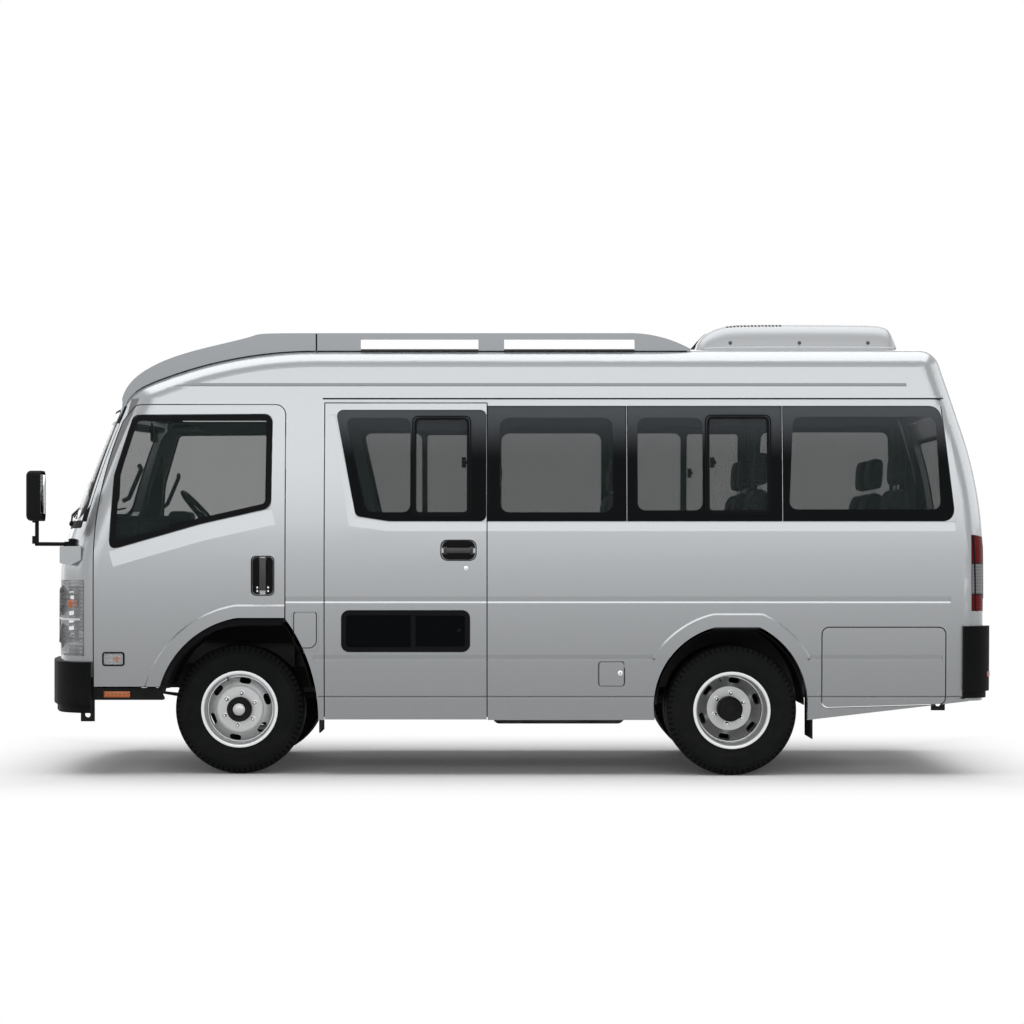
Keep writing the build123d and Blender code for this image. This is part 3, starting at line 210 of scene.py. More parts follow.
def laid(bm, skin, facing, lift=0.0):
    """Lay a flat piece on a surface seen from one way; its height stands off that surface."""
    start_at, way = FACINGS[facing]
    way = Vector(way)
    for vertex in bm.verts:
        across, height, up = vertex.co
        start = Vector(start_at(across, up))
        hit = skin.ray_cast(start, way)[0]
        if hit is None:
            hit = skin.find_nearest(start + way * (FAR - 1))[0]
            hit = start + way * (hit - start).dot(way)
        vertex.co = hit - way * (lift + height)
    return bm


def piece(name, bm, finish, body="root", slot=None, crease=35):
    """Finish a shape as a named piece that rides on a body."""
    slot = slot or SLOT_OF[finish.name]
    bmesh.ops.remove_doubles(bm, verts=bm.verts, dist=1e-6)
    bmesh.ops.recalc_face_normals(bm, faces=bm.faces)
    mesh = bpy.data.meshes.new(name)
    bm.to_mesh(mesh)
    bm.free()
    mesh.materials.append(finish)
    mesh.polygons.foreach_set("use_smooth", [True] * len(mesh.polygons))
    mesh.set_sharp_from_angle(angle=radians(crease))
    made = bpy.data.objects.new(name, mesh)
    scene.collection.objects.link(made)
    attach(made, body)
    return made


# ---- material building
class Value:
    """A number, colour or place inside a material's node tree, for ordinary arithmetic."""

    def __init__(self, tree, output):
        self.tree, self.output = tree, output

    def __add__(self, other):
        return maths("ADD", self, other)

    def __sub__(self, other):
        return maths("SUBTRACT", self, other)

    def __rsub__(self, other):
        return maths("SUBTRACT", other, self)

    def __mul__(self, other):
        return maths("MULTIPLY", self, other)

    def __truediv__(self, other):
        return maths("DIVIDE", self, other)

    def __abs__(self):
        return maths("ABSOLUTE", self)

    __radd__, __rmul__ = __add__, __mul__


def plug(into, value):
    """Link a value to a socket, or set a plain one on it."""
    if isinstance(value, Value):
        value.tree.links.new(value.output, into)
    else:
        into.default_value = value


def add_node(tree, kind, **settings):
    made = tree.nodes.new("ShaderNode" + kind)
    for key, value in settings.items():
        setattr(made, key, value)
    return made


def maths(operation, *values, clamp=False):
    tree = next(value.tree for value in values if isinstance(value, Value))
    made = add_node(tree, "Math", operation=operation, use_clamp=clamp)
    for into, value in zip(made.inputs, values):
        plug(into, value)
    return Value(tree, made.outputs[0])


def folded(value, width=1.0):
    """A zigzag that goes up and down once in two widths."""
    return maths("PINGPONG", value, width)


def distance(over, up):
    return maths("SQRT", over * over + up * up)


def largest(first, *others):
    for other in others:
        first = maths("MAXIMUM", first, other)
    return first


def blended(share, first, second):
    """One colour turned into another by a mask."""
    made = add_node(share.tree, "Mix", data_type="RGBA")
    for index, value in ((0, share), (6, first), (7, second)):
        plug(made.inputs[index], value)
    return Value(share.tree, made.outputs[2])


def stepped(value, low, high, first=0.0, last=1.0):
    """A smooth step from one value to another."""
    made = add_node(value.tree, "MapRange", interpolation_type="SMOOTHSTEP")
    for index, each in enumerate((value, low, high, first, last)):
        plug(made.inputs[index], each)
    return Value(value.tree, made.outputs[0])


def between(value, rise, top, edge, fall):
    """1 inside a band and 0 outside it."""
    return stepped(value, rise, top) * stepped(value, fall, edge)


def speckle(spot, scale, detail=2.0, rough=0.5):
    """Soft noise over the object."""
    made = add_node(spot.tree, "TexNoise")
    for label, value in (("Vector", spot), ("Scale", scale), ("Detail", detail), ("Roughness", rough)):
        plug(made.inputs[label], value)
    return Value(spot.tree, made.outputs["Fac"])


def place(tree):
    return Value(tree, add_node(tree, "TexCoord").outputs["Object"])


def split(spot):
    made = add_node(spot.tree, "SeparateXYZ")
    plug(made.inputs[0], spot)
    return [Value(spot.tree, output) for output in made.outputs]


def raised(height, depth):
    """A surface normal from a height, with its depth in metres."""
    made = add_node(height.tree, "Bump")
    made.inputs["Strength"].default_value = 1.0
    made.inputs["Distance"].default_value = depth
    plug(made.inputs["Height"], height)
    return Value(height.tree, made.outputs["Normal"])


def tinted(colour, tint, spread):
    """A colour varied a little by a tint that averages one half."""
    made = add_node(tint.tree, "VectorMath", operation="SCALE")
    plug(made.inputs[0], colour[:3])
    plug(made.inputs["Scale"], (tint - 0.5) * spread + 1.0)
    return Value(tint.tree, made.outputs[0])


def group(name, **inputs):
    """Start a shared effect: a node group, with the values that it is given."""
    tree = bpy.data.node_groups.new(name, "ShaderNodeTree")
    for label, value in inputs.items():
        made = tree.interface.new_socket(name=label, in_out="INPUT", socket_type="NodeSocketFloat")
        made.default_value = value
    given = tree.nodes.new("NodeGroupInput").outputs
    return tree, [Value(tree, given[label]) for label in inputs]


def gives(tree, **outputs):
    """Finish a shared effect with what it gives back."""
    for label in outputs:
        tree.interface.new_socket(name=label, in_out="OUTPUT", socket_type="NodeSocketFloat")
    into = tree.nodes.new("NodeGroupOutput").inputs
    for label, value in outputs.items():
        plug(into[label], value)
    return tree


def use(spot, shared, **values):
    """Place a shared effect in a material with its own values."""
    made = spot.tree.nodes.new("ShaderNodeGroup")
    made.node_tree = shared
    for label, value in values.items():
        plug(made.inputs[label], value)
    given = [Value(spot.tree, output) for output in made.outputs]
    return given if len(given) > 1 else given[0]


def shared_grain():
    """Fine moulded or sprayed grain: a height and a slight tint."""
    tree, (scale,) = group("fine_grain", Scale=400.0)
    fine = speckle(place(tree), scale, 3.0)
    return gives(tree, Height=fine, Tint=fine * (speckle(place(tree), 3.0, 3.0) + 0.5))


def shared_dust():
    """Road dust that thins out upwards."""
    tree, (top, amount) = group("road_dust", Top=0.7, Amount=0.3)
    spot = place(tree)
    patches = speckle(spot, 9.0, 6.0, 0.65)
    fade = stepped(top - split(spot)[2], 0.0, 0.5)
    return gives(tree, Mask=fade * stepped(patches, 0.25, 0.75) * amount)


def shared_opening():
    """A rounded opening in a pane: 1 inside it, 0 outside, its width and middle shifting with height."""
    tree, (across, up, middle, centre, half, rise, corner, taper, slope) = group(
        "pane_opening", Across=0.0, Up=0.0, Middle=0.0, Centre=0.0, Half=0.1, Rise=0.1, Corner=0.03,
        Taper=0.0, Slope=0.0,
    )
    up = up - centre
    across = across - middle - slope * up
    half = half - taper * up
    over = largest(abs(across) - (half - corner), 0.0)
    above = largest(abs(up) - (rise - corner), 0.0)
    return gives(tree, Mask=stepped(corner - distance(over, above), -0.002, 0.002))


def shared_lining():
    """The trimmed inner face of the body shell: 1 inside the skin, 0 on it."""
    tree, (depth,) = group("inner_lining", Depth=0.03)
    x, y, z = split(place(tree))
    rise = z - WAIST
    side = HALF_WIDTH - rise * rise * (0.5 / BARREL)
    return gives(tree, Mask=stepped(side - abs(y) - depth, 0.0, 0.004))


def shared_wheel_place():
    """Where a point is on a wheel: its radius, its turn as a share of one round, and its distance across."""
    tree, (along, height) = group("wheel_place", Along=0.0, Height=0.37)
    x, y, z = split(place(tree))
    over, up = x - along, z - height
    return gives(tree, Radius=distance(over, up), Turn=maths("ARCTAN2", up, over) / (2 * pi), Across=y)


GRAIN = shared_grain()
DUST = shared_dust()
OPENING = shared_opening()
LINING = shared_lining()
WHEEL_PLACE = shared_wheel_place()

DUST_COLOUR = (0.30, 0.28, 0.25, 1)
TRIM_COLOUR = (0.16, 0.165, 0.17, 1)
FRIT_COLOUR = (0.0015, 0.0025, 0.003, 1)


def material(name):
    """A new material and the place of a point on the object that carries it."""
    made = bpy.data.materials.new(name)
    made.use_nodes = True
    return made, place(made.node_tree)


def surface_values(made, **values):
    """Set or link the shader's own sockets, by their names."""
    shader = made.node_tree.nodes["Principled BSDF"]
    for label, value in values.items():
        plug(shader.inputs[label.replace("_", " ")], value)
    return made


def paint(name, colour, metallic, rough, coat, lined=False, dust=0.07):
    """Sprayed paint with flake, a clear coat, dust low down and painted shade that darkens it towards the
    bottom; trimmed inside where it lines the cabin.
    """
    made, spot = material(name)
    flake = add_node(spot.tree, "TexVoronoi")
    plug(flake.inputs["Vector"], spot)
    flake.inputs["Scale"].default_value = 1400.0
    orange_peel = use(spot, GRAIN, Scale=260.0)[0]
    dirt = use(spot, DUST, Top=0.62, Amount=dust)
    # Painted shade: below 1.25 m the paint is blended towards a darker copy of its colour, most at 0.35 m and
    # below.
    painted_low_shade = stepped(split(spot)[2], 1.25, 0.35) * 0.45
    base = tinted(colour, Value(spot.tree, flake.outputs["Distance"]), 0.10)
    base = blended(painted_low_shade, base, tuple(0.45 * part for part in colour) + (1,))
    base = blended(dirt, base, DUST_COLOUR)
    roughness = rough + dirt * 0.45
    shine = metallic * (1.0 - dirt)
    coated = coat * (1.0 - dirt)
    if lined:
        trim = use(spot, LINING, Depth=0.03)
        base = blended(trim, base, TRIM_COLOUR)
        roughness = maths("ADD", roughness, trim * 0.5, clamp=True)
        shine = shine * (1.0 - trim)
        coated = coat * (1.0 - trim)
    return surface_values(
        made, Base_Color=base, Metallic=shine, Roughness=roughness, Coat_Weight=coated,
        Coat_Roughness=0.06, Normal=raised(orange_peel, 0.00002),
    )


def plastic(name, colour, rough, grain=900.0, depth=0.00006, dust=0.1, shine=0.05):
    """Moulded plastic with a leathery grain, dulled by dust low down."""
    made, spot = material(name)
    height, tint = use(spot, GRAIN, Scale=grain)
    dirt = use(spot, DUST, Top=0.75, Amount=dust)
    return surface_values(
        made, Base_Color=blended(dirt, tinted(colour, tint, 0.5), DUST_COLOUR), Roughness=rough + tint * 0.15,
        Specular_IOR_Level=shine, Normal=raised(height, depth),
    )


def metal(name, colour, rough, grain=500.0, dust=0.15, shine=1.0):
    """Bare or silver-finished metal, slightly streaked."""
    made, spot = material(name)
    height, tint = use(spot, GRAIN, Scale=grain)
    dirt = use(spot, DUST, Top=0.8, Amount=dust)
    return surface_values(
        made, Base_Color=blended(dirt, tinted(colour, tint, 0.25), DUST_COLOUR),
        Metallic=shine * (1.0 - dirt), Roughness=rough + tint * 0.12, Normal=raised(height, 0.00002),
    )


def glass(name, axis, openings, density, painted_reflection_from, painted_reflection_to, tint, painted_reflection):
    """A bonded pane: a black printed border round see-through openings, with a painted reflection that makes
    it paler towards its head.
    """
    made, spot = material(name)
    x, y, z = split(spot)
    across = x if axis == "x" else abs(y)
    clear = 0.0
    for low, high, foot, head, corner, taper, slope in openings:
        one = use(
            spot, OPENING, Across=across, Up=z, Middle=(low + high) / 2, Centre=(foot + head) / 2,
            Half=(high - low) / 2, Rise=(head - foot) / 2, Corner=corner, Taper=taper, Slope=slope,
        )
        clear = largest(clear, one)
    # Painted reflection: between these heights the pane's colour, print and clear parts alike, turns paler,
    # standing in for the bright surroundings it reflects near its head.
    painted_reflection_rise = stepped(z, painted_reflection_from, painted_reflection_to)
    return surface_values(
        made, Base_Color=blended(clear, blended(painted_reflection_rise, FRIT_COLOUR, painted_reflection), blended(painted_reflection_rise, tint, painted_reflection)),
        Roughness=0.03 + speckle(spot, 6.0, 4.0) * 0.02, IOR=1.5, Specular_IOR_Level=0.03,
        Alpha=stepped(clear, 0.0, 1.0, 1.0, density),
    )


def tyre_rubber(name, along, height):
    """Tyre rubber: shoulder notches and tread grooves with painted shade in them, and moulded rings on the
    wall.
    """
    made, spot = material(name)
    radius, turn, across = use(spot, WHEEL_PLACE, Along=along, Height=height)
    shoulder = stepped(radius, 0.337, 0.341)
    tread = stepped(radius, 0.3625, 0.3635)
    notch = stepped(folded(turn * 140.0), 0.55, 0.75) * (shoulder - tread)
    zigzag = folded(turn * 210.0) * 0.008
    groove = stepped(folded(across + zigzag, 0.019), 0.0035, 0.0015) * tread
    rings = stepped(folded(radius, 0.0085), 0.0012, 0.0004) * (1.0 - shoulder)
    grain, tint = use(spot, GRAIN, Scale=700.0)
    dirt = use(spot, DUST, Top=0.9, Amount=0.12)
    # The notches and grooves are cut in by the bump, and their colour is painted near black as shade.
    cut = largest(notch, groove)
    base = blended(dirt, tinted((0.006, 0.0066, 0.007), tint, 0.5), (0.05, 0.048, 0.044, 1))
    return surface_values(
        made, Base_Color=blended(cut, base, (0.0015, 0.0015, 0.0015, 1)), Roughness=0.62 + dirt * 0.3,
        Specular_IOR_Level=0.06, Normal=raised(rings * 0.25 - cut + grain * 0.03, 0.003),
    )


def cloth(name, colour, stripe):
    """Woven seat cloth: a close weave with a faint stripe along the seat."""
    made, spot = material(name)
    x, y, z = split(spot)
    thread_x, thread_y, thread_z = [folded(along * 420.0) for along in (x, y, z)]
    weave = (thread_x + thread_z) * (thread_y + 0.3)
    bands = stepped(folded(y, 0.03), 0.024, 0.027)
    base = blended(bands * 0.6, colour, stripe)
    base = blended(speckle(spot, 60.0, 4.0) * 0.35, base, (0.02, 0.02, 0.022, 1))
    return surface_values(
        made, Base_Color=base, Roughness=0.8 + weave * 0.06, Sheen_Weight=0.25, Normal=raised(weave, 0.0004),
    )


def prisms(spot, rows, columns):
    """The moulded pattern of a lamp's lens."""
    x, y, z = split(spot)
    return folded(z * rows) * folded((x + y) * columns)


def lens(name, colour, density):
    """A moulded lamp lens with fine prisms behind a glossy face."""
    made, spot = material(name)
    pattern = prisms(spot, 90.0, 90.0)
    return surface_values(
        made, Base_Color=tinted(colour, pattern, 0.5), Roughness=0.05 + pattern * 0.04,
        Alpha=maths("ADD", density, pattern * 0.08, clamp=True), Normal=raised(pattern, 0.0004),
    )


def tail_lens(name):
    """The tail lamp: a red lens with a clear chamber and dark joints between them."""
    made, spot = material(name)
    z = split(spot)[2]
    clear = between(z, 1.028, 1.032, 1.199, 1.203)
    joint_low = between(z, 1.022, 1.025, 1.030, 1.033)
    joint_high = between(z, 1.198, 1.201, 1.206, 1.209)
    pattern = prisms(spot, 110.0, 90.0)
    red = blended(pattern, (0.10, 0.0015, 0.0015, 1), (0.20, 0.004, 0.003, 1))
    white = blended(pattern, (0.16, 0.16, 0.165, 1), (0.32, 0.32, 0.33, 1))
    base = blended(largest(joint_low, joint_high), blended(clear, red, white), (0.01, 0.004, 0.004, 1))
    return surface_values(
        made, Base_Color=base, Roughness=0.06 + pattern * 0.05, Specular_IOR_Level=0.08,
        Normal=raised(pattern, 0.0005),
    )


# The clear parts of each pane: low, high, foot, head, corner, taper, slope.
SIDE_OPENINGS = [
    (0.576, 0.884, 1.492, 2.028, 0.045, -0.11, 0.11),
    (0.254, 0.542, 1.492, 2.017, 0.020, 0.0, 0.0),
    (-0.571, 0.068, 1.492, 2.028, 0.055, 0.0, 0.0),
    (-1.079, -0.712, 1.503, 2.028, 0.045, 0.0, 0.0),
    (-1.446, -1.119, 1.503, 2.023, 0.020, 0.0, 0.0),
    (-2.415, -1.582, 1.508, 2.034, 0.045, 0.045, 0.0),
]
SCREEN_OPENINGS = [(-0.775, 0.775, 1.510, 2.020, 0.06, 0.13, 0.0)]
BACK_OPENINGS = [(-0.625, 0.625, 1.490, 1.945, 0.06, 0.03, 0.0)]
DOOR_OPENINGS = [(1.30, 2.40, 1.20, 2.12, 0.02, 0.0, 0.0)]
DEEP_TINT, CAB_TINT = (0.022, 0.030, 0.030, 1), (0.024, 0.036, 0.034, 1)
# The colours of the painted reflection that each pane pales into towards its head.
SIDE_PAINTED_REFLECTION, BACK_PAINTED_REFLECTION = (0.088, 0.096, 0.105, 1), (0.050, 0.055, 0.060, 1)
CAB_PAINTED_REFLECTION = (0.004, 0.005, 0.005, 1)
SILVER = (0.335, 0.348, 0.358)

silver = paint("silver_metallic", SILVER, 0.72, 0.24, 0.28, lined=True)
silver_ends = paint("silver_metallic_ends", SILVER, 0.72, 0.24, 0.28)
rail_silver = paint("rail_silver", (0.21, 0.22, 0.23), 0.70, 0.34, 0.1, dust=0.0)
unit_grey = paint("unit_pale_grey", (0.34, 0.35, 0.36), 0.50, 0.38, 0.1, dust=0.0)
black_plastic = plastic("black_moulding", (0.009, 0.009, 0.0098), 0.48, dust=0.04)
bumper_plastic = plastic("bumper_moulding", (0.0045, 0.0048, 0.005), 0.55, 650.0, depth=0.00012, dust=0.02)
satin_black = plastic("satin_black", (0.016, 0.016, 0.017), 0.30, depth=0.00003, dust=0.0, shine=0.5)
gloss_black = plastic("gloss_black", (0.006, 0.006, 0.0065), 0.18, grain=1500.0, depth=0.00001, dust=0.0)
seal_rubber = plastic("seal_rubber", (0.008, 0.008, 0.009), 0.62, grain=1200.0, depth=0.00004)
flap_rubber = plastic("flap_rubber", (0.008, 0.008, 0.008), 0.7, grain=300.0, depth=0.0003, dust=0.15)
dash_plastic = plastic("dash_moulding", (0.020, 0.021, 0.023), 0.6, grain=500.0, depth=0.0002, dust=0.0)
wheel_plastic = plastic("steering_grip", (0.016, 0.016, 0.017), 0.5, grain=700.0, depth=0.0002, dust=0.0)
floor_paint = plastic("floor_covering", (0.045, 0.046, 0.048), 0.7, grain=220.0, depth=0.0003, dust=0.5)
chassis_paint = plastic("chassis_black", (0.010, 0.010, 0.010), 0.5, grain=160.0, depth=0.0002, dust=0.18)
cast_iron = metal("bare_casting", (0.08, 0.08, 0.08), 0.6, grain=260.0, dust=0.25, shine=0.6)
dull_steel = metal("dull_exhaust", (0.28, 0.26, 0.24), 0.48, grain=120.0, dust=0.5)
wheel_silver = metal("wheel_silver", (0.50, 0.505, 0.51), 0.27, grain=900.0, dust=0.10, shine=0.75)
bright_steel = metal("bright_steel", (0.72, 0.73, 0.74), 0.16, grain=900.0, dust=0.05)
# The mirror's colour is painted dark: a painted reflection of dark surroundings in place of the white
# backdrop it would show.
mirror_painted_dark = metal("mirror_painted_dark", (0.17, 0.18, 0.185), 0.03, grain=300.0, dust=0.0)
front_rubber = tyre_rubber("tyre_rubber_front", *FRONT_WHEEL)
rear_rubber = tyre_rubber("tyre_rubber_rear", *REAR_WHEEL)
seat_cloth = cloth("seat_cloth", (0.030, 0.032, 0.036, 1), (0.055, 0.06, 0.07, 1))
# After each pane's density come the heights over which its painted reflection rises, its tint and the painted
# reflection's colour.
side_tint = glass("side_glass_tint", "x", SIDE_OPENINGS, 0.44, 1.78, 2.10, DEEP_TINT, SIDE_PAINTED_REFLECTION)
back_tint = glass("back_glass_tint", "y", BACK_OPENINGS, 0.46, 1.60, 2.00, DEEP_TINT, BACK_PAINTED_REFLECTION)
screen_tint = glass("screen_glass", "y", SCREEN_OPENINGS, 0.32, 2.0, 2.2, CAB_TINT, CAB_PAINTED_REFLECTION)
door_tint = glass("door_glass", "x", DOOR_OPENINGS, 0.33, 2.2, 2.4, CAB_TINT, CAB_PAINTED_REFLECTION)
clear_lens = lens("clear_lens", (0.72, 0.74, 0.76), 0.22)
amber_lens = lens("amber_lens", (0.52, 0.13, 0.02), 0.90)
red_lens = lens("red_lens", (0.30, 0.008, 0.008), 0.95)
tail_red = tail_lens("tail_lens_red_clear")

BY_SLOT = {
    "body_paint": silver_ends, "unit_cover": unit_grey, "dark_glass": side_tint, "clear_glass": door_tint,
    "lamp_lens": clear_lens, "tail_lens": tail_red, "black_plastic": black_plastic,
    "flap_rubber": flap_rubber, "floor_paint": floor_paint, "dash_plastic": dash_plastic,
    "seat_cloth": seat_cloth, "chassis_paint": chassis_paint, "cast_block": cast_iron,
    "exhaust_steel": dull_steel, "spare_finish": seal_rubber, "wheel_rim_plastic": wheel_plastic,
    "tyre": front_rubber, "rim_paint": wheel_silver,
}
BY_NODE = {
    "left_side_panel": silver, "right_side_panel": silver, "front_left_door": silver,
    "front_right_door": silver, "passenger_door": silver, "luggage_flap": silver, "roof_rails": rail_silver,
    "front_bumper": bumper_plastic, "rear_bumper": bumper_plastic, "tailgate_glass": back_tint,
    "windshield": screen_tint, "rear_left_tyres": rear_rubber, "rear_right_tyres": rear_rubber,
}
PIECE_FINISHES = {
    "body_paint": (silver, silver_ends, unit_grey), "flap_rubber": (seal_rubber,),
    "black_plastic": (black_plastic, gloss_black, satin_black), "dash_plastic": (dash_plastic,),
    "rim_paint": (bright_steel, wheel_silver, mirror_painted_dark, cast_iron),
    "wheel_rim_plastic": (wheel_plastic,), "lamp_lens": (clear_lens, amber_lens), "tail_lens": (red_lens,),
}
SLOT_OF = {finish.name: slot for slot, finishes in PIECE_FINISHES.items() for finish in finishes}

for part in frame["record"]["subparts"]:
    finish = BY_NODE.get(part["node"], BY_SLOT[part["material_slot"]])
    mesh = nodes[part["node"]].data
    if not mesh.materials:
        mesh.materials.append(finish)
    for index in range(len(mesh.materials)):
        mesh.materials[index] = finish

# ---- windows
SLIDERS = ((0.243, 0.554, 1.480, 2.030), (-1.457, -1.106, 1.490, 2.036))
for side, sign in SIDES:
    for number, (low, high, foot, head) in enumerate(SLIDERS, 1):
        body = "passenger_door" if number == 1 and sign == 1 else "root"
        sash = border(rect(low, high, foot, head), 0.013, 0.005, radius=0.030)
        outside = rect(low - 0.012, high + 0.012, foot - 0.010, head + 0.010)
        runner = border(outside, 0.006, 0.003, radius=0.034)
        seal = on_side(sliced(joined(sash, runner), z=(foot, head, 8)), -0.0055, sign)
        piece(f"{side}_slider_{number}_seal", seal, seal_rubber, body)
        catch_x = low + 0.030 if number == 1 else high - 0.030
        catch = joined(
            brick((catch_x - 0.013, 0.0, 1.745), (catch_x + 0.013, 0.016, 1.805), 0.004),
            brick((catch_x - 0.022, 0.006, 1.765), (catch_x + 0.006, 0.020, 1.785), 0.003),
        )
        piece(f"{side}_slider_{number}_catch", on_side(catch, -0.030, sign), black_plastic, body)


def corner_fill(corner, first, second, thick):
    """A concave infill that rounds a sharp corner, from two points on its edges."""
    corner, first, second = Vector(corner), Vector(first), Vector(second)
    curve = []
    for index in range(9):
        share = index / 8
        curve.append(first.lerp(corner, share).lerp(corner.lerp(second, share), share))
    return slab([tuple(corner)] + [tuple(spot) for spot in curve], thick)


GLASS_FOOT, GLASS_HEAD = 1.443, 2.094
GLASS_JOINTS = {"left": (-0.650, -1.531), "right": (-0.650, -1.531, 0.1415)}
side_panes = surface("side_glass")
for side, sign in SIDES:
    strips = [slab(rect(x - 0.0055, x + 0.0055, GLASS_FOOT, GLASS_HEAD), 0.0035) for x in GLASS_JOINTS[side]]
    joints = joined(*[sliced(strip, z=(GLASS_FOOT, GLASS_HEAD, 8)) for strip in strips])
    piece(f"{side}_glass_joints", on_side(joints, -0.0095, sign), seal_rubber)
    fills = joined(
        corner_fill((-2.512, 1.438), (-2.500, 1.530), (-2.420, 1.438), 0.0045),
        corner_fill((-2.430, 2.098), (-2.438, 2.020), (-2.350, 2.098), 0.0045),
    )
    piece(f"{side}_rear_window_corners", laid(fills, side_panes, side), silver)

SEAL_LIFT = 0.0005
DOOR_LIGHT = [(2.280, 1.278), (2.252, 1.700), (2.148, 2.043), (1.359, 2.048), (1.365, 1.517), (1.763, 1.427)]
for side, sign in SIDES:
    door = f"front_{side}_door"
    seal = border(DOOR_LIGHT, 0.032, 0.006, radius=0.045, steps=6)
    sliced(seal, z=(1.25, 2.06, 14), x=(1.35, 2.29, 12))
    piece(f"{door}_window_seal", laid(seal, surface(f"{door}_glass"), side, SEAL_LIFT), seal_rubber, door)

low_seal = border(rect(0.239, 0.964, 0.703, 0.936), 0.026, 0.010, radius=0.045, steps=6)
sliced(low_seal, z=(0.70, 0.94, 4))
low_bar = slab(rect(0.546, 0.572, 0.722, 0.917), 0.008)
low_slide = border(rect(0.255, 0.556, 0.722, 0.918), 0.012, 0.006, radius=0.02)
low_frame = laid(joined(low_seal, low_bar, low_slide), surface("passenger_door_glass"), "left", SEAL_LIFT)
piece("passenger_door_low_window_seal", low_frame, seal_rubber, "passenger_door")
KNOB = [(0, 0), (0.012, 0), (0.014, 0.008), (0.014, 0.010), (0.002, 0.010), (0, 0.012)]
entry_knob = on_side(spun(KNOB, (0.299, 0, 0.825), 16), -0.010)
piece("passenger_door_low_window_knob", entry_knob, black_plastic, "passenger_door")

SCREEN_LINE = [(-0.856, 1.449), (0.856, 1.449), (0.771, 2.091), (-0.771, 2.091)]
screen_seal = border(SCREEN_LINE, 0.014, 0.004, radius=0.07, steps=6)
sliced(screen_seal, z=(1.44, 2.10, 10), x=(-0.86, 0.86, 20))
piece("windshield_seal", laid(screen_seal, surface("windshield"), "front"), seal_rubber)

# ---- doors and flaps
CUP_LIFT, RIM_LIFT = -0.0165, -0.001
STUD = [(0, 0), (0, 0.005), (0.002, 0.006), (0.004, 0.003), (0.004, 0)]
for side, sign in SIDES:
    door = f"front_{side}_door"
    cup = on_side(slab(rect(1.352, 1.468, 1.028, 1.238), 0.003, 0.024), CUP_LIFT, sign)
    handle = joined(
        brick((1.389, 0.905, 1.048), (1.430, 0.9295, 1.226), 0.008, 3),
        brick((1.386, 0.904, 1.030), (1.433, 0.924, 1.062), 0.006),
        brick((1.386, 0.904, 1.212), (1.433, 0.924, 1.236), 0.006),
    )
    piece(f"{door}_handle_cup", cup, gloss_black, door)
    piece(f"{door}_handle", scaled(handle, y=sign), satin_black, door)
    lip = on_side(border(rect(1.343, 1.476, 1.020, 1.246), 0.006, 0.003, 0.028), RIM_LIFT, sign)
    piece(f"{door}_handle_rim", lip, black_plastic, door)
    for number, up in enumerate((1.045, 1.066), 1):
        for end, along in (("rear", 1.380), ("front", 1.440)):
            stud = on_side(spun(STUD, (along, 0, up), 12), -0.013, sign)
            piece(f"{door}_handle_stud_{number}_{end}", stud, bright_steel, door)

entry_cup = on_side(slab(rect(0.209, 0.396, 1.224, 1.330), 0.003, 0.034), CUP_LIFT)
piece("passenger_door_handle_cup", entry_cup, gloss_black, "passenger_door")
entry_grip = joined(
    brick((0.226, 0.900, 1.258), (0.380, 0.9285, 1.292), 0.010, 3),
    brick((0.214, 0.900, 1.252), (0.240, 0.922, 1.298), 0.006),
    brick((0.366, 0.900, 1.252), (0.392, 0.922, 1.298), 0.006),
)
piece("passenger_door_handle", entry_grip, satin_black, "passenger_door")
entry_rim = on_side(border(rect(0.200, 0.405, 1.217, 1.337), 0.006, 0.003, 0.038), RIM_LIFT)
piece("passenger_door_handle_rim", entry_rim, black_plastic, "passenger_door")


def keyhole(name, x, z, body, radius=0.012):
    """A round lock face with its slot."""
    face = [(0, 0), (0.003, 0), (0.003, radius * 0.7), (0.0015, radius), (-0.002, radius)]
    piece(name, on_side(spun(face, (x, 0, z), 20)), bright_steel, body)
    slot_cut = slab(rect(x - 0.0015, x + 0.0015, z - radius * 0.55, z + radius * 0.55), 0.0006)
    piece(name + "_slot", on_side(slot_cut, 0.0031), gloss_black, body)


keyhole("passenger_door_lock", 0.260, 1.176, "passenger_door")
keyhole("fuel_flap_lock", -0.612, 0.582, "root", 0.014)

side_skin = surface("left_side_panel")
fuel_gap = sliced(border(rect(-0.638, -0.488, 0.506, 0.650), 0.0055, 0.0010, 0.020), z=(0.50, 0.66, 3))
piece("fuel_flap_gap", laid(fuel_gap, side_skin, "left"), seal_rubber)
fuel_plate = sliced(slab(rect(-0.632, -0.494, 0.512, 0.644), 0.0012, 0.016), z=(0.51, 0.65, 3))
piece("fuel_flap", laid(fuel_plate, side_skin, "left"), silver)
FILLER_FLAP = [(1.236, 0.928), (1.103, 0.928), (1.103, 0.752), (1.130, 0.722), (1.205, 0.722), (1.236, 0.752)]
filler_gap = sliced(border(FILLER_FLAP, 0.0050, 0.0010, 0.014), z=(0.72, 0.93, 4))
piece("filler_flap_gap", laid(filler_gap, side_skin, "left"), seal_rubber)

# repeaters on the cab doors
BULB = [(0, 0), (0.002, 0), (0.002, 0.014), (0, 0.018)]
for side, sign in SIDES:
    door = f"front_{side}_door"
    door_skin = surface(door)
    rim = sliced(border(rect(2.190, 2.316, 0.622, 0.702), 0.009, 0.006, 0.016), x=(2.19, 2.32, 4))
    piece(f"door_repeater_rim_{side}", laid(rim, door_skin, side), black_plastic, door)
    cover = sliced(slab(rect(2.198, 2.308, 0.630, 0.694), 0.004, 0.010), x=(2.19, 2.32, 4))
    piece(f"door_repeater_lens_{side}", laid(cover, door_skin, side), clear_lens, door)
    bulb = laid(spun(BULB, (2.235, 0, 0.662), 20), door_skin, side)
    piece(f"door_repeater_bulb_{side}", bulb, amber_lens, door)

